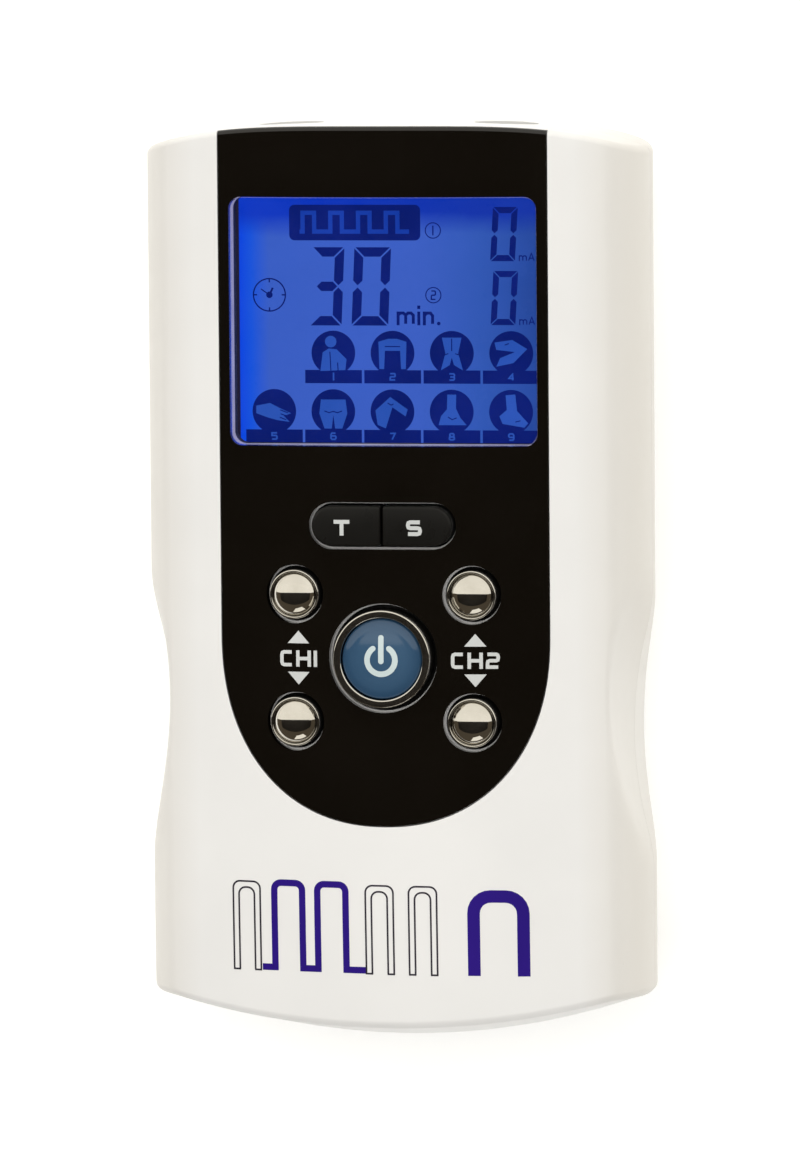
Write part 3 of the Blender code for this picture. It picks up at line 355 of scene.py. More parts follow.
def place(name, built, finish, sharp=32):
    """Turns a bmesh in millimetres into an object in metres."""
    bmesh.ops.remove_doubles(built, verts=built.verts, dist=1e-4)
    bmesh.ops.recalc_face_normals(built, faces=built.faces)
    built.transform(Matrix.Scale(MM, 4))
    mesh = bpy.data.meshes.new(name)
    built.to_mesh(mesh)
    built.free()
    mesh.shade_smooth()
    mesh.set_sharp_from_angle(angle=math.radians(sharp))
    if finish:
        mesh.materials.append(finish)
    return put(name, mesh)


def evaluated_mesh(obj):
    return bpy.data.meshes.new_from_object(obj.evaluated_get(bpy.context.evaluated_depsgraph_get()))


def settle(obj, sharp=32):
    """Turns an object's modifiers into plain mesh."""
    mesh = evaluated_mesh(obj)
    obj.modifiers.clear()
    obj.data = mesh
    if "custom_normal" in mesh.attributes:
        mesh.attributes.remove(mesh.attributes["custom_normal"])
    mesh.shade_smooth()
    mesh.set_sharp_from_angle(angle=math.radians(sharp))


def heal(obj):
    """Merges doubled points and turns every face outwards, ready for the next cut."""
    built = bmesh.new()
    built.from_mesh(obj.data)
    bmesh.ops.remove_doubles(built, verts=built.verts, dist=2e-6)
    bmesh.ops.dissolve_degenerate(built, edges=built.edges, dist=2e-6)
    bmesh.ops.recalc_face_normals(built, faces=built.faces)
    built.to_mesh(obj.data)
    built.free()


def carve(obj, tools, sharp=32, operation="DIFFERENCE"):
    """Cuts from obj, adds to it, or keeps what it shares with the tools, and removes them."""
    for tool in tools:
        step = obj.modifiers.new(tool.name, "BOOLEAN")
        step.operation, step.solver, step.object = operation, "EXACT", tool
    settle(obj, sharp)
    for tool in tools:
        bpy.data.objects.remove(tool)


def join(obj, tools, sharp=32):
    carve(obj, tools, sharp, "UNION")


def soften(obj, width_mm, segments, angle=50):
    """Rounds an object's edges, as a mould does."""
    step = obj.modifiers.new("edges", "BEVEL")
    step.width, step.segments = width_mm * MM, segments
    step.limit_method, step.angle_limit = "ANGLE", math.radians(angle)
    step.harden_normals = step.use_clamp_overlap = True


def even_normals(obj):
    """Lets the large faces decide how light falls beside a cut edge."""
    step = obj.modifiers.new("normals", "WEIGHTED_NORMAL")
    step.keep_sharp, step.weight = True, 80


def dark_skirt(obj, below_mm):
    """The unplated lower part of a key: everything under a height is dark plastic."""
    obj.data.materials.append(KEY)
    for face in obj.data.polygons:
        if face.center.z < below_mm * MM:
            face.material_index = 1


def between_grids(name, grids, finish=None):
    """A closed solid between two grids of points with the same rows and columns."""
    built = bmesh.new()
    tops, unders = ([[built.verts.new(p) for p in row] for row in grid] for grid in grids)
    rows, columns = len(tops), len(tops[0])
    for i in range(rows - 1):
        for j in range(columns - 1):
            built.faces.new((tops[i][j], tops[i][j + 1], tops[i + 1][j + 1], tops[i + 1][j]))
            built.faces.new((unders[i][j], unders[i + 1][j], unders[i + 1][j + 1], unders[i][j + 1]))
    for i in range(rows - 1):
        for j in (0, columns - 1):
            built.faces.new((tops[i][j], tops[i + 1][j], unders[i + 1][j], unders[i][j]))
    for j in range(columns - 1):
        for i in (0, rows - 1):
            built.faces.new((tops[i][j], tops[i][j + 1], unders[i][j + 1], unders[i][j]))
    return place(name, built, finish)


def box(low, high, name="box", finish=None):
    built = bmesh.new()
    bmesh.ops.create_cube(built, size=1.0)
    for v in built.verts:
        v.co = Vector([(a + b) / 2 + c * (b - a) for a, b, c in zip(low, high, v.co)])
    return place(name, built, finish)


def prism(outline, start_at, end_at, name="prism", finish=None, along="Z"):
    """Extrudes a flat outline. Along Z the outline is (x, y), and along X it is (y, z)."""
    built = bmesh.new()
    if along == "Z":
        corners, shift = [(a, b, start_at) for a, b in outline], Vector((0, 0, end_at - start_at))
    else:
        corners, shift = [(start_at, a, b) for a, b in outline], Vector((end_at - start_at, 0, 0))
    face = built.faces.new([built.verts.new(p) for p in corners])
    moved = bmesh.ops.extrude_face_region(built, geom=[face])["geom"]
    bmesh.ops.translate(built, verts=[v for v in moved if isinstance(v, bmesh.types.BMVert)], vec=shift)
    return place(name, built, finish)


def turned(profile, centre, name="turned", finish=None, axis="Z", steps=64, ring=False, lean=0.0, sharp=32):
    """Spins a profile of (radius, height) points round an axis through centre."""
    built = bmesh.new()
    rings = []
    turn = [2 * math.pi * k / steps for k in range(steps)]
    for radius, height in profile:
        spots = [(radius * math.cos(a), radius * math.sin(a), height) for a in turn]
        rings.append([built.verts.new(p) for p in (spots if radius else spots[:1])])
    for low, high in zip(rings, rings[1:] + (rings[:1] if ring else [])):
        for k in range(steps):
            after = (k + 1) % steps
            corners = low[k % len(low)], low[after % len(low)], high[after % len(high)], high[k % len(high)]
            built.faces.new(list(dict.fromkeys(corners)))
    swing = {"X": Matrix.Rotation(math.pi / 2, 4, "Y"), "Y": Matrix.Rotation(-math.pi / 2, 4, "X")}
    built.transform(swing.get(axis, Matrix.Rotation(lean, 4, "Y")))
    built.transform(Matrix.Translation(Vector(centre)))
    return place(name, built, finish, sharp)


def rod(radius, start_at, end_at, centre, axis="Z", steps=48):
    profile = [(0, start_at), (radius, start_at), (radius, end_at), (0, end_at)]
    return turned(profile, centre, axis=axis, steps=steps)


def rods(radius, low, high, spots, steps=48):
    """Upright rods at several (x, y) spots."""
    return [rod(radius, low, high, (*spot, 0), steps=steps) for spot in spots]


def wire(name, points, thickness):
    """A round steel wire along a list of points, as a mesh."""
    curve = bpy.data.curves.new(name, "CURVE")
    curve.dimensions = "3D"
    spline = curve.splines.new("POLY")
    spline.points.add(len(points) - 1)
    for slot, p in zip(spline.points, points):
        slot.co = (*(c * MM for c in p), 1.0)
    curve.bevel_depth, curve.bevel_resolution, curve.use_fill_caps = thickness / 2 * MM, 3, True
    curve.materials.append(STEEL)
    rail = put(name + "_rail", curve)
    mesh = evaluated_mesh(rail)
    bpy.data.objects.remove(rail)
    mesh.shade_smooth()
    return put(name, mesh)


def arc(centre, radius, start_deg, end_deg, steps):
    """Points along an arc, both ends included."""
    turn = [math.radians(start_deg + (end_deg - start_deg) * k / steps) for k in range(steps + 1)]
    return [(centre[0] + radius * math.cos(a), centre[1] + radius * math.sin(a)) for a in turn]


def disc(centre, radius, count=40):
    return arc(centre, radius, 0, 360 * (count - 1) / count, count - 1)


def mirrored(right):
    """A closed outline from its right half, which runs from one end of the middle line to the other."""
    return right + [(-x, y) for x, y in reversed(right)]


def rounded_rectangle(width, height, radius, centre=(0, 0), steps=8):
    points = []
    for sx, sy, turn in ((1, 1, 0), (-1, 1, 90), (-1, -1, 180), (1, -1, 270)):
        corner = (centre[0] + sx * (width / 2 - radius), centre[1] + sy * (height / 2 - radius))
        points += arc(corner, radius, turn, turn + 90, steps)
    return points


def pill_end(length, radius):
    return arc((length - radius, KEY_Y), radius, -90, 90, 24)


def half_pill(side, length, radius):
    """One half of the split key's outline, from the split to the rounded end."""
    inner = KEY_SPLIT / 2
    points = [(inner, KEY_Y - radius)] + pill_end(length, radius) + [(inner, KEY_Y + radius)]
    return [(side * x, y) for x, y in (points if side > 0 else points[::-1])]


# ---------------------------------------------------------------- the case's shape, as the CAD has it
def bezier(points, count):
    a, b, c, d = (Vector(p) for p in points)
    found = []
    for k in range(1, count + 1):
        t = k / count
        found.append(a * (1 - t) ** 3 + b * 3 * t * (1 - t) ** 2 + c * 3 * t * t * (1 - t) + d * t ** 3)
    return [(p.x, p.y) for p in found]


def crown(x):
    return APEX_Z - x * x / (2 * CROWN_R)


def front_profile():
    points = [(CROWN_X * k / 24, crown(CROWN_X * k / 24)) for k in range(25)]
    shoulder = (30.6, crown(CROWN_X) - 0.66), (HALF_W, 23.0), (HALF_W, PART_Z)
    return points + bezier([points[-1], *shoulder], 18)


def back_profile():
    flat, rim = 26.5, PART_Z - SEAM
    points = [(flat * k / 12, BACK_Z) for k in range(13)]
    return points + bezier([(flat, BACK_Z), (31.5, BACK_Z), (HALF_W, 11.5), (HALF_W, rim)], 18)


def offset(profile, outward, thickness):
    """The profile moved inwards by a thickness that depends on x."""
    moved = []
    for k, (x, z) in enumerate(profile):
        before, after = profile[max(k - 1, 0)], profile[min(k + 1, len(profile) - 1)]
        run = Vector((after[0] - before[0], after[1] - before[1])).normalized()
        normal = Vector((-run.y, run.x)) * outward
        if k == 0:
            normal = Vector((0, outward))
        if k == len(profile) - 1:
            normal = Vector((1, 0))
        moved.append((x - normal.x * thickness(x), z - normal.y * thickness(x)))
    return moved


def top_end(x):
    return TOP_Y - TOP_DROP * (x / HALF_W) ** 4


def bottom_end(x, z=PART_Z):
    lean = BOTTOM_LEAN * (max(z - PART_Z, 0) / (APEX_Z - PART_Z)) ** 2
    return FOOT_Y + BOTTOM_DROP * (x / HALF_W) ** 2 + lean


def lowered(z, y):
    """The face sinks a little towards the bottom end."""
    if z <= PART_Z:
        return z
    drop = NOSE_DROP * max(0.0, (NOSE_START - y) / (NOSE_START - FOOT_Y)) ** 2
    return z - drop * (z - PART_Z) / (APEX_Z - PART_Z)


def front_z(x, y):
    return lowered(crown(x), y)


def scooped(x, y, z, inset):
    """x, held inside the hollow of the waist with a soft edge."""
    above = max(z - PART_Z, 0)
    middle = SCOOP_Y + SCOOP_TILT * above
    limit = HALF_W - SCOOP_DEPTH - SCOOP_LEAN * above + (y - middle) ** 2 / (2 * SCOOP_R) - inset
    near = max(SCOOP_BLEND - abs(x - limit), 0) / SCOOP_BLEND
    return min(x, limit) - near * near * SCOOP_BLEND / 4


def stations(end_inset):
    """(share of the length, shift along it, inset) for each cross-section."""
    edge = [(end_inset, 0.0)]
    if not end_inset:
        turn = [math.radians(15 * k) for k in range(7)]
        edge = [(END_ROUND * (1 - math.cos(a)), END_ROUND * (1 - math.sin(a))) for a in turn]
    middle = [(0.02 + 0.012 * k, 0, 0.0) for k in range(81)]
    return [(0, dy, inset) for dy, inset in edge] + middle + [(1, -dy, inset) for dy, inset in reversed(edge)]


def case_grids(profile, outward, base_z, inset=0.0):
    outer, base = [], []
    for share, shift, edge_inset in stations(inset):
        half = offset(profile, outward, lambda x: edge_inset) if edge_inset else profile
        row, base_row = [], []
        for x, z in [(-x, z) for x, z in reversed(half[1:])] + half:
            y, y_base = (
                foot + (top_end(x) - foot) * share + shift
                for foot in (bottom_end(x, z), bottom_end(x, base_z))
            )
            x_in = math.copysign(scooped(abs(x), y, z, inset), x) if x else 0.0
            row.append((x_in, y, lowered(z, y)))
            base_row.append((x_in, y_base, base_z))
        outer.append(row)
        base.append(base_row)
    return outer, base


def hollow_half(name, outward, wall):
    """The front (1) or rear (-1) half of the case, hollowed to a wall that depends on x."""
    profile = front_profile() if outward > 0 else back_profile()
    shell = between_grids(name, case_grids(profile, outward, profile[-1][1]), WHITE)
    inside = case_grids(offset(profile, outward, wall), outward, PART_Z - outward, WALL)
    carve(shell, [between_grids("hollow", inside)])
    return shell


def panel_grids(grow=0.0, above=0.0, below=PANEL_T, overhang=0.0, edge=0.0):
    """Upper and lower grid of the panel's outline. edge rounds the upper one's end rim."""
    columns, rows, turns = 72, 60, 6
    half = PANEL_HALF_W + grow
    upper, lower = [], []
    bends = [0.0] * (rows + 1) + [math.pi / 2 * k / turns for k in range(1, turns + 1) if edge]
    for i, bend in enumerate(bends):
        upper_row, lower_row = [], []
        for j in range(columns + 1):
            x = half * math.sin(math.pi / 2 * (2 * j / columns - 1))
            round_off = max(1 - abs(x / half) ** PANEL_FULLNESS, 0) ** (1 / PANEL_FULLNESS)
            y0 = PANEL_ROUND_Y - (PANEL_ROUND_Y - PANEL_BOTTOM_Y + grow) * round_off
            last = top_end(x) + overhang - edge
            y = y0 + (last - y0) * min(i / rows, 1) + edge * math.sin(bend)
            upper_row.append((x, y, front_z(x, y) + above - edge * (1 - math.cos(bend))))
            lower_row.append((x, y, front_z(x, y) - below))
        upper.append(upper_row)
        lower.append(lower_row)
    return upper, lower


# ---------------------------------------------------------------- marks that lie on a surface
LIFT, SINK = 0.025, 0.03


def ribbon(built, points, width, height_at, lift=LIFT, closed=False):
    """A flat band of so much width along a line, lying on a surface."""
    count = len(points)
    rows = []
    for k, p in enumerate(points):
        here, runs = Vector(p), []
        if closed or k:
            runs.append((here - Vector(points[k - 1])).normalized())
        if closed or k < count - 1:
            runs.append((Vector(points[(k + 1) % count]) - here).normalized())
        normals = [Vector((-run.y, run.x)) for run in runs]
        mitre = sum(normals, Vector((0, 0))).normalized()
        reach = mitre * (width / 2 / max(mitre.dot(normals[0]), 0.5))
        corners = (here + reach, lift), (here - reach, lift), (here - reach, -SINK), (here + reach, -SINK)
        rows.append([built.verts.new((q.x, q.y, height_at(q.x, q.y) + dz)) for q, dz in corners])
    for a, b in zip(rows, rows[1:] + (rows[:1] if closed else [])):
        for k in range(4):
            built.faces.new((a[k], b[k], b[(k + 1) % 4], a[(k + 1) % 4]))
    if not closed:
        built.faces.new(rows[0])
        built.faces.new(rows[-1][::-1])


def patch(built, outline, height_at, lift=LIFT):
    """A filled flat mark that lies on a surface."""
    top, under = ([built.verts.new((x, y, height_at(x, y) + dz)) for x, y in outline] for dz in (lift, -SINK))
    built.faces.new(top)
    built.faces.new(under[::-1])
    for k in range(len(outline)):
        after = (k + 1) % len(outline)
        built.faces.new((top[k], under[k], under[after], top[after]))


def finer(points, step=0.6):
    """The same line with a point at least every so many millimetres."""
    found = [points[0]]
    for a, b in zip(points, points[1:]):
        count = max(1, math.ceil(math.dist(a, b) / step))
        found += [tuple(p + (q - p) * k / count for p, q in zip(a, b)) for k in range(1, count + 1)]
    return found


# Strokes of plain block characters, in a box one unit wide and high.
GLYPHS = {
    "C": [[(1, 1), (0.22, 1), (0.06, 0.94), (0, 0.8), (0, 0.2), (0.06, 0.06), (0.22, 0), (1, 0)]],
    "H": [[(0, 0), (0, 1)], [(1, 0), (1, 1)], [(0, 0.5), (1, 0.5)]],
    "T": [[(0, 1), (1, 1)], [(0.5, 1), (0.5, 0)]],
    "S": [[(1, 1), (0.2, 1), (0.05, 0.94), (0, 0.8), (0, 0.68), (0.05, 0.55), (0.2, 0.5), (0.8, 0.5),
           (0.95, 0.45), (1, 0.32), (1, 0.2), (0.95, 0.06), (0.8, 0), (0, 0)]],
    "m": [[(0, 0), (0, 1)], [(0, 0.8), (0.15, 1), (0.35, 1), (0.5, 0.8), (0.5, 0)],
          [(0.5, 0.8), (0.65, 1), (0.85, 1), (1, 0.8), (1, 0)]],
    "n": [[(0, 0), (0, 1)], [(0, 0.75), (0.3, 1), (0.75, 1), (1, 0.75), (1, 0)]],
    "i": [[(0.5, 0), (0.5, 1)], [(0.5, 1.52), (0.5, 1.56)]],
    "A": [[(0, 0), (0.5, 1), (1, 0)], [(0.22, 0.32), (0.78, 0.32)]],
    "1": [[(0.5, 0), (0.5, 1)]],
    "2": [[(0, 1), (0.8, 1), (0.95, 0.94), (1, 0.8), (1, 0.68), (0.95, 0.55), (0.8, 0.5), (0.2, 0.5),
           (0.05, 0.44), (0, 0.3), (0, 0), (1, 0)]],
    "3": [[(0, 1), (0.8, 1), (1, 0.85), (1, 0.65), (0.85, 0.5), (1, 0.35), (1, 0.15), (0.8, 0), (0, 0)],
          [(0.3, 0.5), (0.85, 0.5)]],
    "4": [[(0.75, 0), (0.75, 1), (0, 0.3), (1, 0.3)]],
    "5": [[(1, 1), (0, 1), (0, 0.58), (0.8, 0.58), (1, 0.42), (1, 0.15), (0.8, 0), (0, 0)]],
    "6": [[(0.9, 1), (0.2, 1), (0, 0.8), (0, 0.2), (0.2, 0), (0.8, 0), (1, 0.2), (1, 0.4), (0.8, 0.55),
           (0, 0.55)]],
    "7": [[(0, 1), (1, 1), (0.4, 0)]],
    "8": [[(0.5, 0.5), (0.1, 0.62), (0.1, 0.9), (0.3, 1), (0.7, 1), (0.9, 0.9), (0.9, 0.62), (0.5, 0.5),
           (0, 0.36), (0, 0.12), (0.25, 0), (0.75, 0), (1, 0.12), (1, 0.36), (0.5, 0.5)]],
    "9": [[(1, 0.45), (0.2, 0.45), (0, 0.6), (0, 0.85), (0.2, 1), (0.8, 1), (1, 0.8), (1, 0.2), (0.8, 0),
           (0.1, 0)]],
}


def glyph(built, character, left, bottom, width, height, stroke, height_at, lift=LIFT):
    """Draws one character inside its box. Later strokes lie a little higher."""
    half = stroke / 2
    for rank, line in enumerate(GLYPHS[character]):
        reached = [(u * (width - stroke), v * (height - stroke)) for u, v in line]
        points = [(left + half + a, bottom + half + b) for a, b in reached]
        if len(points) == 2:
            first, last = Vector(points[0]), Vector(points[1])
            reach = (last - first).normalized() * half
            points = [tuple(first - reach), tuple(last + reach)]
        ribbon(built, finer(points), stroke, height_at, lift + 0.004 * rank)


def marks(name, built, finish, body="case"):
    fit(place(name, built, finish), body=body)


# ---------------------------------------------------------------- shells and panel
UNDER, OVER = 20.0, 40.0  # far enough to cut right through the front


def window_outline(grow=0.0):
    return rounded_rectangle(WINDOW_W + grow, WINDOW_H + grow, WINDOW_R + grow / 2, (0, WINDOW_Y))


def key_slot(grow=0.0):
    outline = mirrored(pill_end(KEY_SLOT_HALF + grow, KEY_SLOT_R + grow))
    return prism(outline, BOARD_TOP + 2, APEX_Z + 3)


def lipped_hole(radius, x, y, steps=96):
    """A cutter for a hole with a rounded lip where it comes out of the crowned face."""
    flare, below, above = 0.06, 7, 3
    turn = [math.radians(15 * k) for k in range(7)]
    lip = [(radius + flare * (1 - math.cos(a)), -flare + flare * math.sin(a)) for a in turn]
    profile = [(0, -below), (radius, -below)] + lip + [(radius + flare, above), (0, above)]
    return turned(profile, (x, y, front_z(x, y)), steps=steps, lean=math.atan(x / CROWN_R))


def end_ports():
    """Cutters for the sockets' openings in the top end and the jack's in the left side."""
    spots = [(x, 0, SOCKET_Z) for x in (-SOCKET_X, SOCKET_X)]
    made = [rod(4.15, TOP_Y - 6, TOP_Y + 2, spot, "Y", 62) for spot in spots]
    return made + [rod(3.95, -HALF_W - 2, -HALF_W + 6, (0, DC_Y, DC_Z), "X", 62)]


def build_front_shell():
    shell = hollow_half("shell_front", 1, lambda x: FACE_WALL if x < CROWN_X - 4 else WALL)
    bosses = rods(BOSS_R, PART_Z + 0.9, 27.0, CASE_SCREWS)
    join(shell, bosses + rods(POST_R, BOARD_TOP + 0.1, 29.0, BOARD_POSTS))
    closer, low, high = 0.2, BOARD_TOP + 2, APEX_Z + 3
    tools = [between_grids("panel_pocket", panel_grids(GAP, 3.0, PANEL_T + 0.1, 4.0))]
    tools.append(prism(window_outline(), UNDER, OVER - 4))
    tools += rods(BUTTON_HOLE_R - closer, low, high, BUTTONS.values())
    tools += rods(POWER_HOLE_R - closer, low, high, [(0, POWER_Y)]) + [key_slot(-closer)]
    tools += rods(1.3, PART_Z, 25.6, CASE_SCREWS, 24) + rods(1.05, UNDER, 28.2, BOARD_POSTS, 24)
    carve(shell, tools)
    carve(shell, end_ports())
    even_normals(shell)
    fit(shell, "front_shell")


def build_panel():
    panel = between_grids("panel", panel_grids(edge=0.55), BLACK)
    tools = [lipped_hole(BUTTON_HOLE_R, *spot) for spot in BUTTONS.values()]
    tools += [lipped_hole(POWER_HOLE_R, 0, POWER_Y, 128), key_slot(), prism(window_outline(), UNDER, OVER)]
    carve(panel, tools, 5)
    fit(panel, "front_panel")


def build_window():
    window = between_grids("window_pane", panel_grids(), PANE)
    carve(window, [prism(window_outline(-0.2), UNDER, OVER)], operation="INTERSECT")
    fit(window, "display_window")
    middle = 27.5
    # The liner glows with painted light, standing for the lit shaft wall round the display.
    for name, low, high, finish, slot in (
        ("display_liner", middle, 29.6, PAINTED_GLOW_LINER, "lcd_white"),
        ("display_gasket", LCD_TOP + 0.12, middle, RUBBER, "rubber"),
    ):
        liner = prism(window_outline(0.2), low, high, name, finish)
        carve(liner, [prism(window_outline(-0.03), low - 1, high + 1)])
        fit(liner)


def build_rear_shell():
    shell = hollow_half("shell_rear", -1, lambda x: WALL)
    bay_low = (-BAY_HALF_W - BAY_WALL, BAY_BOTTOM_Y - BAY_WALL, BACK_Z + 0.5)
    bay_high = (BAY_HALF_W + BAY_WALL, BAY_TOP_Y + BAY_WALL, BAY_ROOF_Z + BAY_WALL)
    solids = [box(bay_low, bay_high)] + rods(BOSS_R, BACK_Z + 1.2, PART_Z + 0.6, CASE_SCREWS)
    join(shell, solids + rods(POST_R, BACK_Z + 1.2, 12.8, BRACKET_SCREWS))
    gap = 0.2
    half, end, roof = DOOR_HALF_W + gap, DOOR_TOP_Y + gap, BACK_Z + DOOR_T
    carve(shell, [box((-BAY_HALF_W, BAY_BOTTOM_Y, 0), (BAY_HALF_W, BAY_TOP_Y, BAY_ROOF_Z))])
    carve(shell, [box((-half, FOOT_Y - 3, 0), (half, end, roof + 0.15))])
    tools = [box((-half - TONGUE, FOOT_Y - 3.5, BACK_Z + 0.65), (half + TONGUE, end - 0.5, roof))]
    below, through, above = 5, 1.4, PART_Z + 2
    well = [
        (0, below), (2.65, below), (2.65, BACK_Z), (2.35, BACK_Z + 0.3), (2.35, HEAD_SEAT_Z),
        (through, HEAD_SEAT_Z), (through, above), (0, above),
    ]
    tools += [turned(well, (x, y, 0)) for x, y in CASE_SCREWS]
    tools += rods(0.9, below, 12.3, BRACKET_SCREWS, 24)
    for x in (-1.5 * CELL_PITCH, 1.5 * CELL_PITCH):  # slots for the contact tabs
        low, high = (x - 1.6, BAY_TOP_Y - 0.8, BAY_ROOF_Z - 1), (x + 1.6, BAY_TOP_Y + 0.1, BAY_ROOF_Z + 3)
        tools.append(box(low, high))
    carve(shell, tools)
    carve(shell, end_ports())
    even_normals(shell)
    fit(shell, "rear_shell")


# ---------------------------------------------------------------- keys
def flange_top(x, y):
    outer = abs(x) + 3 if x else 6
    return front_z(outer, y) - FACE_WALL - 0.25


KEY_FLANGE = flange_top(0, KEY_Y) - 0.15


def dome_points(radius, sphere_r, base, count, start=0):
    """A profile over a spherical cap, from its edge at a height to its middle."""
    edge = math.asin(radius / sphere_r)
    turn = [edge * (1 - k / count) for k in range(start, count + 1)]
    return [(sphere_r * math.sin(a), base + sphere_r * (math.cos(a) - math.cos(edge))) for a in turn]


def build_channel_button(name, x, y):
    """A plated cap: a steep dome inside a thin rolled rim, on a dark skirt."""
    face, flange = front_z(x, y), flange_top(x, y)
    foot, lip_r, rim_r, dome_r, tube = flange - FLANGE_T, BUTTON_HOLE_R + 0.25, 3.16, 2.74, 0.17
    profile = [(0, foot), (lip_r, foot), (lip_r, flange), (rim_r, flange), (rim_r, face + 0.1)]
    profile += arc((rim_r - tube, face + 0.62 - tube), tube, 0, 170, 14)
    base, sphere_r = face + 0.40, 3.5
    profile += [(rim_r - 2 * tube, base - 0.1), (dome_r, base - 0.1)]
    profile += dome_points(dome_r, sphere_r, base, 24)
    cap = turned(profile, (x, y, 0), name + "_cap", CHROME, steps=96, sharp=60)
    dark_skirt(cap, face + 0.05)
    fit(cap, name, name)


def build_power_key():
    """A plated ring with two bright edges and a groove, round a domed blue cap."""
    centre = (0, POWER_Y, 0)
    face, flange = front_z(0, POWER_Y), flange_top(0, POWER_Y)
    rim, inner, lip_r, foot = face + 1.2, POWER_CAP_R + 0.1, POWER_HOLE_R + 0.3, flange - FLANGE_T
    profile = [(inner - 1.4, foot), (lip_r, foot), (lip_r, flange), (POWER_R, flange), (POWER_R, face + 0.1)]
    profile += arc((POWER_R - 0.2, rim - 0.2), 0.2, 0, 90, 8) + arc((inner + 0.2, rim - 0.2), 0.2, 90, 180, 8)
    profile += [(inner, rim - 0.6), (inner, flange + 0.4), (inner - 1.4, flange + 0.4)]
    ring = turned(profile, centre, "power_key_ring", CHROME, steps=128, ring=True, sharp=60)
    dark_skirt(ring, face + 0.05)
    fit(ring, "power_ring", "power_key")

    stem, shoulder, disc_r, sphere_r, fillet = POWER_CAP_R - 1.6, flange + 0.5, 3.7, 21.3, 0.42
    profile = [(0, foot), (stem, foot), (stem, shoulder), (POWER_CAP_R, shoulder)]
    for k in range(11):
        a = math.radians(90 - 8 * k)
        profile.append((POWER_CAP_R - fillet * (1 - math.sin(a)), rim - 0.4 - fillet * (1 - math.cos(a))))
    edge_r, edge_z = profile[-1]
    for share in (0.2, 0.4, 0.6, 0.8, 1.0):
        radius = edge_r + (disc_r - edge_r) * share
        profile.append((radius, edge_z + 0.27 * math.sin(share * math.pi / 2)))
    disc_z, tilt = profile[-1][1], math.radians(10)
    for k in range(1, 15):
        a = tilt * (1 - k / 14)
        profile.append((sphere_r * math.sin(a), disc_z + sphere_r * (math.cos(a) - math.cos(tilt))))
    cap = turned(profile, centre, "power_key_cap", CAP, steps=128, sharp=60)
    fit(cap, "power_cap", "power_key")

    def on_cap(x, y):
        out = math.hypot(x, y - POWER_Y)
        return disc_z + math.sqrt(sphere_r ** 2 - out * out) - sphere_r * math.cos(tilt)

    built = bmesh.new()
    middle, gap_from, gap_to = (0, POWER_Y - 0.1), 125, 415
    stroke = [(0, POWER_Y - 0.25), (0, POWER_Y + 2.75)]
    ribbon(built, arc(middle, 1.80, gap_from, gap_to, 60), 0.72, on_cap)
    ribbon(built, finer(stroke, 0.3), 0.70, on_cap)
    for end in arc(middle, 1.80, gap_from, gap_to, 1) + stroke:
        patch(built, disc(end, 0.355, 24), on_cap, lift=0.022)
    marks("power_symbol", built, CAP_INK, "power_key")


def build_half_key(name, side, letter, letter_x):
    """Half of the split key: flat, with a soft edge, and its letter printed on top."""
    top = front_z(4, KEY_Y) + 0.55
    outline = half_pill(side, KEY_SLOT_HALF - KEY_MARGIN, KEY_SLOT_R - KEY_MARGIN)
    key = prism(outline, KEY_FLANGE - 0.3, top, name + "_top", KEY)
    soften(key, 0.38, 4)
    settle(key, 40)
    lip = half_pill(side, KEY_SLOT_HALF + 0.35, KEY_SLOT_R + 0.35)
    join(key, [prism(lip, KEY_FLANGE - FLANGE_T, KEY_FLANGE)], 40)
    fit(key, name, name)
    built = bmesh.new()
    glyph(built, letter, letter_x - 1.02, KEY_Y - 1.2, 2.04, 2.0, 0.5, lambda x, y: top)
    marks(name + "_letter", built, LEGEND, name)


def build_keypad():
    """The silicone mat, and a rubber dome under each key."""
    base = KEYPAD_Z + KEYPAD_T
    mat = prism(rounded_rectangle(36, 37, 2, (0, -5.5)), KEYPAD_Z, base, "keypad_mat", SILICONE)
    soften(mat, 0.2, 2)
    fit(mat, "keypad")
    seats = [(name.replace("_button", ""), x, y, flange_top(x, y)) for name, (x, y) in BUTTONS.items()]
    seats.append(("power", 0, POWER_Y, flange_top(0, POWER_Y)))
    seats += [(key, x, KEY_Y, KEY_FLANGE) for key, x in (("timer", -4.9), ("select", 4.9))]
    for key, x, y, flange in seats:
        top = flange - FLANGE_T - 0.1
        profile = [(0, base - 0.05), (3.4, base - 0.05), (3.2, base + 0.4)]
        profile += [(2.2, top - 0.15), (2.0, top), (0, top)]
        dome = turned(profile, (x, y, 0), key + "_rubber", SILICONE, steps=48)
        fit(dome)
        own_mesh(dome)


# ---------------------------------------------------------------- print on the panel, keys and case
def build_legends():
    built = bmesh.new()
    gap, height, arrow_half, arrow_reach = 0.36, 2.08, 1.42, 0.8
    for label, centre_x, text_y, low, high, widths in (
        ("CH1", -11.0, -9.85, -12.36, -7.10, (1.75, 1.95, 0.45)),
        ("CH2", 11.85, -9.95, -12.50, -7.35, (1.75, 1.95, 1.80)),
    ):
        left = centre_x - (sum(widths) + 2 * gap) / 2
        for character, width in zip(label, widths):
            glyph(built, character, left, text_y - height / 2, width, height, 0.45, front_z)
            left += width + gap
        for y, way in ((high, 1), (low, -1)):
            foot, tip = y - way * arrow_reach, y + way * (arrow_reach + 0.02)
            arrow = [(centre_x - arrow_half, foot), (centre_x + arrow_half, foot), (centre_x, tip)]
            patch(built, arrow, front_z)
    marks("panel_legends", built, LEGEND)


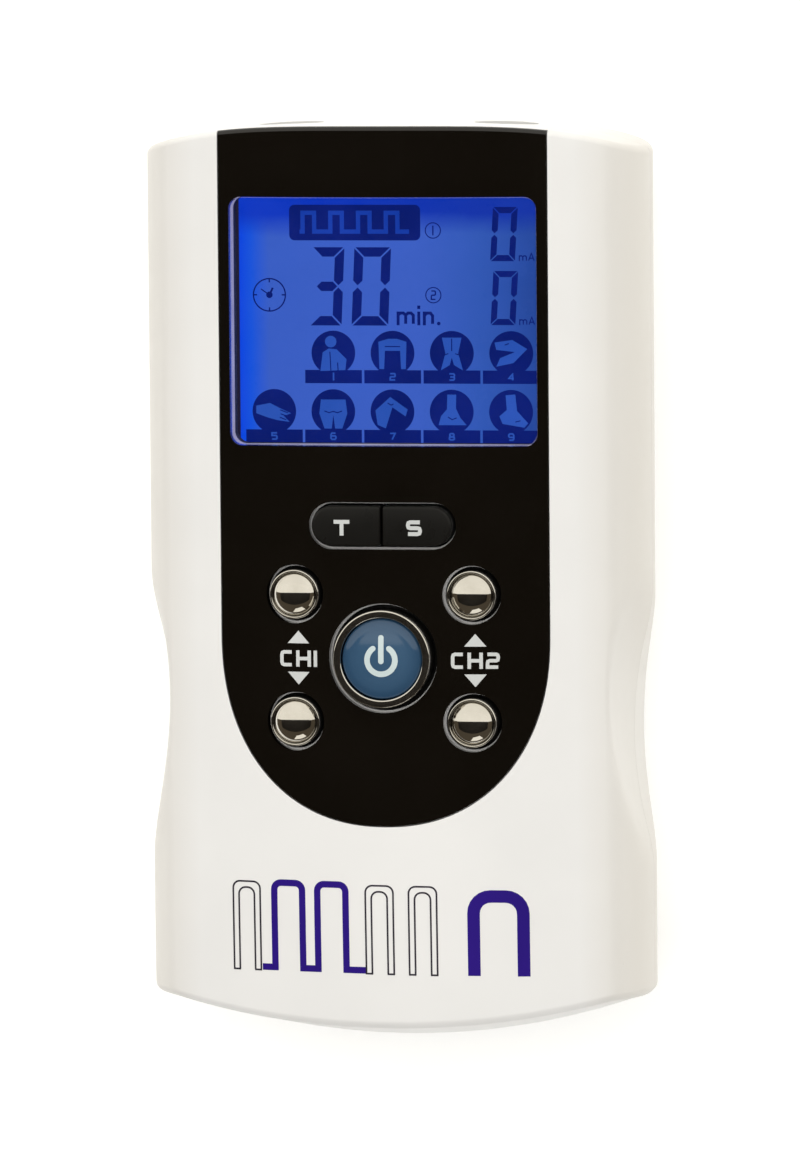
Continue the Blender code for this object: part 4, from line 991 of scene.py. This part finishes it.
def pulse(left, width, low, high, radius=0.9):
    """The outline of one tall pulse with a rounded top."""
    right, r = left + width, min(radius, width / 2)
    top = arc((left + r, high - r), r, 180, 90, 6) + arc((right - r, high - r), r, 90, 0, 6)
    return [(left, low)] + top + [(right, low)]


def build_case_print():
    """A generic pulse train across the bottom of the case: outlined pulses, and solid ones between them."""
    low, high, thin, thick = -50.3, -38.9, 0.22, 0.85
    outline, solid = bmesh.new(), bmesh.new()

    def draw(built, points, width, lift=LIFT, step=0.6):
        ribbon(built, finer([(x, y - 0.012 * x) for x, y in points], step), width, front_z, lift)

    for left in (-20.1, -2.6, 3.0):
        for inset in (0.0, 0.77):
            draw(outline, pulse(left + inset, 3.6 - 2 * inset, low, high - inset), thin, 0.03)
        for x in (left + 0.375, left + 3.225):
            draw(outline, [(x - 0.48, low), (x + 0.48, low)], thin, 0.035, step=1.0)
    for left in (-14.6, -8.9):
        draw(solid, pulse(left, 3.7, low, high), thick)
    for a, b in ((-16.0, -14.95), (-10.5, -9.3), (-4.8, -3.0)):
        draw(solid, [(a - 0.3, low + thick / 2 - 0.005), (b + 0.3, low + thick / 2 - 0.005)], thick)
    draw(solid, pulse(11.3, 6.3, low, -40.0, 2.2), 1.6)
    marks("case_print_outline", outline, OUTLINE)
    marks("case_print_solid", solid, INDIGO)


# ---------------------------------------------------------------- what the display shows
def on_glass(x, y):
    return LCD_TOP


SEGMENTS = {"0": "abcdef", "3": "abcdg"}


def digit(built, shown, left, bottom, width, height, thick, slant):
    """A seven-segment digit with hexagonal ends, leaning to the right."""
    gap, half, middle = 0.12 * thick, thick / 2, height / 2
    for name in SEGMENTS[shown]:
        if name in "adg":
            a, b = half + gap, width - half - gap
            y, way = {"a": (height - half, half), "g": (middle, half), "d": (half, -half)}[name]
            shape = [(a - half, y + way), (b + half, y + way), (b - half, y - way), (a + half, y - way)]
            if name == "g":
                shape = [
                    (a, y), (a + half, y + half), (b - half, y + half),
                    (b, y), (b - half, y - half), (a + half, y - half),
                ]
        else:
            x, out = (half, -half) if name in "ef" else (width - half, half)
            low, high = (half, middle) if name in "ce" else (middle, height - half)
            a, b = low + gap, high - gap
            shape = [
                (x, a), (x + out, a + (half if low > half else -half)),
                (x + out, b + (half if high > middle else -half)),
                (x, b), (x - out, b - half), (x - out, a + half),
            ]
        patch(built, [(left + x + slant * y, bottom + y) for x, y in shape], on_glass)


# Plain figures for nine places on the body, in hundredths of the radius of the circle round each.
FIGURES = [
    [[(-62, -85), (-50, 2), (-22, 20), (16, 16), (62, -30), (56, -80)], disc((-12, 52), 27, 20)],
    [mirrored([(20, 66), (66, 52), (62, -75), (40, -75), (36, 10)])],
    [[(-52, -80), (-30, 0), (-46, 72), (46, 72), (30, 0), (52, -80), (10, -55), (0, -20), (-10, -55)]],
    [[(-78, 50), (5, 62), (75, 20), (10, -45), (-70, -62), (-52, -22), (18, 6), (-70, 16)]],
    [[(-85, 25), (-20, 38), (25, 15), (80, -10), (45, -22), (72, -50), (15, -42), (-30, -30), (-85, -10)]],
    [[(-58, 55), (58, 55), (66, -10), (42, -80), (8, -80), (0, -15), (-8, -80), (-42, -80), (-66, -10)]],
    [[(-80, 5), (-10, 68), (72, 10), (62, -22), (0, 20), (-32, -78), (-70, -62)]],
    [[(-20, 80), (22, 80), (20, 15), (42, -30), (70, -62), (-62, -62), (-50, -20), (-22, 12)]],
    [[(-25, 78), (20, 82), (28, 5), (80, -52), (62, -72), (-40, -55), (-55, -20), (-20, 10)]],
]
# Dark lines drawn over each figure: folds, a spine, fingers.
FOLDS = [
    [[(-16, 5), (-12, -82)], [(20, -45), (22, -82)]],
    [[(-36, 30), (36, 30)]],
    [[(0, 68), (0, 10)], [(-34, -8), (-16, -2)], [(16, -2), (34, -8)]],
    [[(-30, 38), (-10, 46)]],
    [[(28, 6), (66, -8)], [(30, -12), (62, -24)], [(26, -28), (56, -40)]],
    [[(-42, 2), (-20, -6), (0, 0), (20, -6), (42, 2)]],
    [[(-22, 40), (-6, 30), (6, 36)]],
    [[(-18, -24), (2, -36), (24, -28)]],
    [[(20, -46), (44, -40)]],
]


def build_display_art():
    dark, faint, banner = bmesh.new(), bmesh.new(), bmesh.new()
    patch(dark, rounded_rectangle(17.0, 4.55, 0.7, (-4.45, 45.45)), on_glass)
    low, high = 44.3, 46.7
    wave = [(-11.6, low)]
    for k in range(4):
        x = -11.2 + 3.6 * k
        wave += [(x, low), (x, high), (x + 1.5, high), (x + 1.5, low)]
    ribbon(banner, wave + [(2.6, low)], 0.55, on_glass, lift=0.05)

    clock_x, clock_y = clock = (-15.6, 36.2)
    ribbon(dark, disc(clock, 2.08), 0.17, on_glass, closed=True)
    for across, up in ((1, 0), (0, 1), (-1, 0), (0, -1)):
        tick = [(clock_x + r * across, clock_y + r * up) for r in (1.6, 2.05)]
        ribbon(dark, tick, 0.17, on_glass)
    patch(dark, disc(clock, 0.42, 20), on_glass)
    for hand, width in (((-15.15, 37.1), 0.26), ((-16.7, 36.95), 0.14)):
        ribbon(dark, [clock, hand], width, on_glass, lift=0.03)

    for shown, left, width in (("3", -10.4, 4.15), ("0", -4.95, 4.75)):
        digit(dark, shown, left, 32.3, width, 10.0, 1.2, 0.045)
    for character, left, width in (("m", 0.9, 2.35), ("i", 3.55, 0.45), ("n", 4.3, 1.45)):
        glyph(dark, character, left, 32.35, width, 1.75, 0.38, on_glass)
    patch(dark, disc((6.35, 32.58), 0.23, 16), on_glass)
    for y, number in ((44.45, "1"), (36.2, "2")):
        ribbon(dark, disc((5.68, y), 0.98, 30), 0.13, on_glass, closed=True)
        glyph(dark, number, 5.33, y - 0.62, 0.70, 1.24, 0.17, on_glass)
    for bottom, height in ((40.55, 6.9), (32.4, 6.9)):
        digit(dark, "0", 13.05, bottom, 3.2, height, 0.78, 0.06)
        glyph(dark, "m", 16.75, bottom, 1.05, 0.75, 0.14, on_glass)
        glyph(dark, "A", 17.95, bottom, 0.85, 1.1, 0.14, on_glass)

    pitch, scale, bar_half, bar_height = 7.68, 0.0275, 3.68, 1.7
    spots = [(-7.35 + pitch * k, 28.8, 24.9) for k in range(4)]
    spots += [(-15.1 + pitch * k, 21.3, 17.25) for k in range(5)]
    for number, ((x, y, bar), figure, folds) in enumerate(zip(spots, FIGURES, FOLDS), 1):
        patch(dark, disc((x, y), 2.84), on_glass)
        for shape in figure:
            patch(faint, [(x + scale * u, y + scale * v) for u, v in shape], on_glass, lift=0.045)
        for line in folds:
            ribbon(dark, [(x + scale * u, y + scale * v) for u, v in line], 0.13, on_glass, lift=0.07)
        left, right, top = x - bar_half, x + bar_half, bar + bar_height
        patch(dark, [(left, bar), (right, bar), (right, top), (left, top)], on_glass, lift=0.03)
        glyph(faint, str(number), x - 0.42, bar + 0.36, 0.84, 1.0, 0.2, on_glass, lift=0.055)
    marks("display_marks", dark, LCD_MARK)
    marks("display_figures", faint, LCD_FAINT)
    marks("display_wave", banner, LCD_BANNER)


# ---------------------------------------------------------------- sockets, battery bay and door
def build_sockets():
    for channel, x in (("ch1", -SOCKET_X), ("ch2", SOCKET_X)):
        name, centre, pin_r = channel + "_socket", (x, 0, SOCKET_Z), 1.15
        face = top_end(x) - 0.4
        inner = face - 2.4
        body = box(
            (x - 4.6, 44.4, SOCKET_Z - 4.6), (x + 4.6, inner, SOCKET_Z + 4.6), name + "_body", SOCKET)
        nose = [(0, inner - 1), (4.0, inner - 1), (4.0, face - 0.25), (3.75, face), (0, face)]
        join(body, [turned(nose, centre, axis="Y")])
        bore = [
            (0, 47.0), (SOCKET_BORE_R, 47.0), (SOCKET_BORE_R, face - 0.3),
            (3.6, face + 0.05), (3.6, 60), (0, 60),
        ]
        carve(body, [turned(bore, centre, axis="Y"), rod(1.25, 40, 50, centre, "Y")])
        fit(body, name)
        tip = [(0, 43.6), (pin_r, 43.6), (pin_r, 51.0)] + arc((0, 51.0), pin_r, 0, 90, 8)[1:-1] + [(0, 52.0)]
        pin = turned(tip, centre, name + "_contact", BRASS, "Y", 40)
        fit(pin, name + "_pin")
    centre, face, inner = (0, DC_Y, DC_Z), -HALF_W + 0.5, -HALF_W + 3.4
    jack = box((inner, DC_Y - 4.4, DC_Z - 4.3), (-20.2, DC_Y + 4.4, DC_Z + 4.3), "adaptor_jack", SOCKET)
    nose = [(0, face), (3.55, face), (3.8, face + 0.25), (3.8, inner + 1), (0, inner + 1)]
    join(jack, [turned(nose, centre, axis="X")])
    bore = [(0, -40), (3.4, -40), (3.4, face - 0.05), (DC_BORE_R, face + 0.3), (DC_BORE_R, -22.8), (0, -22.8)]
    carve(jack, [turned(bore, centre, axis="X"), rod(1.1, -25, -15, centre, "X")])
    fit(jack, "dc_jack")
    tip = [(0, -27.6), (0.45, -27.55), (0.8, -27.3), (1.0, -26.9), (1.0, -19.6), (0, -19.6)]
    fit(turned(tip, centre, "adaptor_jack_contact", BRASS, "X", 40), "dc_jack_pin")


def build_cells():
    nub_r, nub_h, edge, plate = 1.9, 0.9, 0.35, 0.6
    body, rim = CELL_L - nub_h, CELL_R - edge
    profile = [(0, 0.12), (3.6, 0.12), (3.9, 0), (rim, 0)] + arc((rim, edge), edge, -90, 0, 5)[1:]
    profile += arc((rim, body - edge), edge, 0, 90, 5) + [(3.6, body), (3.4, body - 0.15), (2.3, body - 0.15)]
    profile += [(nub_r, body), (nub_r, CELL_L - 0.2), (nub_r - 0.2, CELL_L), (0, CELL_L)]
    wire_d, turns, steps, spring_r, spring_l = 0.5, 3.3, 92, 3.7, 3.2
    for k in range(4):
        x, inward = (k - 1.5) * CELL_PITCH, (-1) ** k  # inward points from the spring to the positive end
        end, wall, tip = "bottom", BAY_BOTTOM_Y, BAY_TOP_Y
        if inward < 0:
            end, wall, tip = "top", BAY_TOP_Y, BAY_BOTTOM_Y
        cell = turned(profile, (0, 0, 0), f"cell_{k + 1}_sleeve", JACKET, steps=72)
        cell.location = Vector((x, tip - inward * (plate + CELL_L), CELL_Z)) * MM
        cell.rotation_euler = (-inward * math.pi / 2, 0, 0)
        fit(cell, f"cell_{k + 1}")
        points = []
        for n in range(steps + 1):
            share = n / steps
            a, radius = 2 * math.pi * turns * share, spring_r - 1.3 * share
            y = wall + inward * (0.8 + spring_l * share)
            points.append((x + radius * math.cos(a), y, CELL_Z + radius * math.sin(a)))
        fit(wire(f"cell_spring_{k + 1}_{end}", points, wire_d), f"contact_spring_{k + 1}")


def build_door():
    """The sliding battery door: ridged thumb grip, an arrow for the way it opens, soft edges."""
    xs = [DOOR_HALF_W * (k / 30 - 1) for k in range(61)]
    outline = [(x, bottom_end(x) + 0.15) for x in xs]
    outline += [(DOOR_HALF_W, DOOR_TOP_Y), (-DOOR_HALF_W, DOOR_TOP_Y)]
    door = prism(outline, BACK_Z, BACK_Z + DOOR_T, "door", WHITE)
    soften(door, 0.25, 3)
    settle(door, 40)
    reach = DOOR_HALF_W + TONGUE
    tongues = box((-reach, -50.0, BACK_Z + 0.85), (reach, DOOR_TOP_Y - 0.6, BACK_Z + DOOR_T - 0.2))
    join(door, [tongues], 40)
    below = BACK_Z - 1
    tools = []
    for k in range(7):
        width = 18.0 - 0.44 * (k - 3) ** 2
        groove = rounded_rectangle(width, 0.7, 0.34, (0, -47.6 + 1.45 * k), steps=6)
        tools.append(prism(groove, below, BACK_Z + 0.38))
    tools.append(prism([(-2.2, -35.6), (2.2, -35.6), (0.0, -38.0)], below, BACK_Z + 0.25))
    carve(door, tools, 40)
    even_normals(door)
    fit(door, "battery_door", "battery_door")


# ---------------------------------------------------------------- belt clip and screws
def build_clip():
    tip, thumb, pivot = CLIP_TIP_Y, CLIP_THUMB_Y, (0, CLIP_PIVOT_Y, CLIP_PIVOT_Z)
    side_view = [
        (thumb - 1.2, 0.0), (tip + 6.0, 0.0), (tip + 3.4, 0.9), (tip + 1.2, 3.0), (tip + 0.1, 5.4),
        (tip + 0.5, 7.0), (tip + 1.6, 7.2), (tip + 2.7, 6.0), (tip + 3.9, 4.0), (tip + 6.0, 2.4),
        (tip + 8.0, CLIP_T), (thumb - 4, CLIP_T), (thumb - 0.6, 2.5), (thumb, 1.6), (thumb - 0.2, 0.6),
    ]
    arm = prism(side_view, -CLIP_HALF_W, CLIP_HALF_W, "clip_arm", WHITE, "X")
    plan = rounded_rectangle(2 * CLIP_HALF_W, thumb - tip, 5.0, (0, (thumb + tip) / 2), steps=12)
    carve(arm, [prism(plan, -2, 12)], operation="INTERSECT")
    soften(arm, 0.45, 4, 28)
    settle(arm, 40)
    heal(arm)
    parts = []
    for a, b in ((-9.6, -6.2), (6.2, 9.6)):
        parts.append(box((a, CLIP_PIVOT_Y - 1.4, CLIP_T - 0.6), (b, CLIP_PIVOT_Y + 1.4, CLIP_PIVOT_Z)))
        parts.append(rod(2.0, a, b, pivot, "X"))
    join(arm, parts, 40)
    heal(arm)
    carve(arm, [rod(0.45, -7.0, 7.0, (0, 29.8 + 1.5 * k, -0.12), "X", 24) for k in range(4)], 40)
    carve(arm, [rod(PIN_R + 0.1, -20, 20, pivot, "X")], 40)
    even_normals(arm)
    fit(arm, "belt_clip", "belt_clip")

    wire_d, coil_r, per_turn, leg, half = 0.6, 1.75, 32, 4.0, 2.6
    steps = 5 * per_turn + per_turn // 2
    points = [(-half, CLIP_PIVOT_Y - leg, CLIP_PIVOT_Z + coil_r)]
    for k in range(steps + 1):
        a = math.radians(90) + 2 * math.pi * k / per_turn
        x = -half + 2 * half * k / steps
        points.append((x, CLIP_PIVOT_Y + coil_r * math.cos(a), CLIP_PIVOT_Z + coil_r * math.sin(a)))
    fit(wire("clip_spring_coil", points, wire_d), "clip_spring")
    end = (half, CLIP_PIVOT_Y - leg, CLIP_T + 0.4)
    fit(wire("clip_spring_leg", [points[-1], end], wire_d), body="belt_clip")


def build_screws():
    """Screws with a cross recess, seen from below."""
    low, seat = HEAD_SEAT_Z - 2.1, HEAD_SEAT_Z - 0.15
    case = [
        (0, low), (1.5, low), (1.9, low + 0.25), (2.1, low + 0.7),
        (2.1, seat), (1.2, seat), (1.2, 24.6), (0, 25.4),
    ]
    low, seat = 5.55, 6.65
    bracket = [
        (0, low), (1.0, low), (1.45, low + 0.2), (1.7, low + 0.6),
        (1.7, seat), (0.8, seat), (0.8, 11.6), (0, 12.1),
    ]
    for kind, profile, spots, reach in (
        ("case", case, CASE_SCREWS, 1.15), ("bracket", bracket, BRACKET_SCREWS, 0.95),
    ):
        head_z = profile[0][1]
        for k, (x, y) in enumerate(spots, 1):
            made = turned(profile, (x, y, 0), f"{kind}_screw_{k}_steel", STEEL, steps=48)
            arms = (reach, 0.28), (0.28, reach)
            carve(made, [box((x - a, y - b, head_z - 1), (x + a, y + b, head_z + 0.75)) for a, b in arms])
            fit(made, f"{kind}_screw_{k}")


def dress_cad_nodes():
    """Finishes for the CAD pieces whose shape is right as it is."""
    for finish, names in (
        (LCD, "lcd_glass"), (HOLDER, "lcd_holder backlight_guide"), (RUBBER, "lcd_connector_strip"),
        (BOARD, "main_board"), (CHIP, "microcontroller reservoir_capacitor"),
        (WOUND, "ch1_transformer ch2_transformer"),
        (STEEL, "clip_pin clip_bracket contact_plus contact_minus contact_link_top contact_link_left"),
        (STEEL, "contact_link_right board_screw_1 board_screw_2"),
    ):
        for name in names.split():
            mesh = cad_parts[name].data
            mesh.materials.clear()
            mesh.materials.append(finish)


# ---------------------------------------------------------------- light, floor and camera
def card(name, corners, finish):
    """A flat board of the studio, through four corners in millimetres."""
    built = bmesh.new()
    built.faces.new([built.verts.new(p) for p in corners])
    place(name, built, finish)


def board(name, low, high, finish):
    """A card that lies along two axes, from its low corner to its high one."""
    first = 0 if low[0] != high[0] else 1
    second, last = list(low), list(high)
    second[first], last[first] = high[first], low[first]
    card(name, [low, second, high, last], finish)


def build_studio():
    """A lit floor, a back-lit cloth over and behind the far end, and a dark board over the rest."""
    paper = (0.88, 0.88, 0.87), (0.90, 0.90, 0.89)
    floor = glowing("pale_floor", 0.004, paper, paper, (0.7, 0.8), 0.01, strength=0.36, specular=0.1)
    cream, backing = ((0.98, 0.95, 0.87), (1.0, 0.975, 0.90)), ((0.02, 0.02, 0.02), (0.03, 0.03, 0.03))
    cloth = glowing("glowing_cloth", 0.001, cream, backing, (0.8, 0.9), 0.01, strength=1.12)
    dark = moulded("flag_cloth", (0.010, 0.008, 0.006), (0.016, 0.012, 0.009), (0.8, 0.9), 5.0, 0.5, 0.002)
    edge, roof, wall, side, hem = 190, 2300, 2200, 5000, 60
    board("floor", (-4000, -4000, 0), (4000, 4000, 0), floor)
    board("flag", (-side, -2400, roof), (side, edge, roof), dark)
    board("cloth_roof", (-side, edge, roof), (side, wall, roof), cloth)
    board("cloth_wall", (-side, wall, hem), (side, wall, roof), cloth)
    board("cloth_left", (-side, edge, hem), (-side, wall, roof), cloth)
    board("cloth_right", (side, edge, hem), (side, wall, roof), cloth)
    card("bounce", [(-500, -2300, 250), (1200, -2300, 350), (1000, -2300, 1250), (-100, -2300, 1100)], cloth)

    light = bpy.data.lights.new("fill_light", "AREA")
    light.size, light.energy, light.color = 2200 * MM, 25, (1.0, 0.99, 0.975)  # a square soft box
    spot, aim = Vector((0, -250, 1900)), Vector((0, 0, 20))
    lamp = put("fill_light", light)
    lamp.location, lamp.visible_glossy = spot * MM, False
    lamp.rotation_euler = (aim - spot).to_track_quat("-Z", "Y").to_euler()

    world = bpy.context.scene.world = bpy.data.worlds.new("studio")
    world.use_nodes = True
    back = world.node_tree.nodes["Background"].inputs
    back["Color"].default_value, back["Strength"].default_value = (0.95, 0.78, 0.56, 1), 0.09


def build_camera():
    """The camera, 1.2 m from the display and a little to the right of it and towards its top."""
    distance, target = 1200.0, Vector((1.87, 0.82, 30.0))
    azimuth, elevation, roll = math.radians(10.135), math.radians(4.993), math.radians(-0.464)
    back = Vector((
        math.sin(azimuth) * math.cos(elevation), math.sin(elevation), math.cos(azimuth) * math.cos(elevation),
    ))
    right = Vector((0, 1, 0)).cross(back).normalized()
    up = back.cross(right)
    right, up = right * math.cos(roll) + up * math.sin(roll), up * math.cos(roll) - right * math.sin(roll)
    pixels_per_mm, image_height, sensor = 7.849, 1149, 36.0
    camera = bpy.data.cameras.new("camera")
    camera.lens, camera.sensor_width = pixels_per_mm * distance * sensor / image_height, sensor
    camera.clip_start, camera.clip_end = 0.05, 20
    scene, obj = bpy.context.scene, put("camera", camera)
    turn = Matrix((right, up, back)).transposed().to_4x4()
    obj.matrix_world = Matrix.Translation((target + back * distance) * MM) @ turn
    scene.camera = obj
    scene.view_settings.view_transform, scene.view_settings.look = "Standard", "None"


build_front_shell()
build_rear_shell()
build_panel()
build_window()
for button, spot in BUTTONS.items():
    build_channel_button(button, *spot)
build_power_key()
build_half_key("timer_key", -1, "T", -5.1)
build_half_key("select_key", 1, "S", 4.25)
build_keypad()
build_legends()
build_case_print()
build_display_art()
build_sockets()
build_cells()
build_door()
build_clip()
build_screws()
dress_cad_nodes()
build_studio()
build_camera()
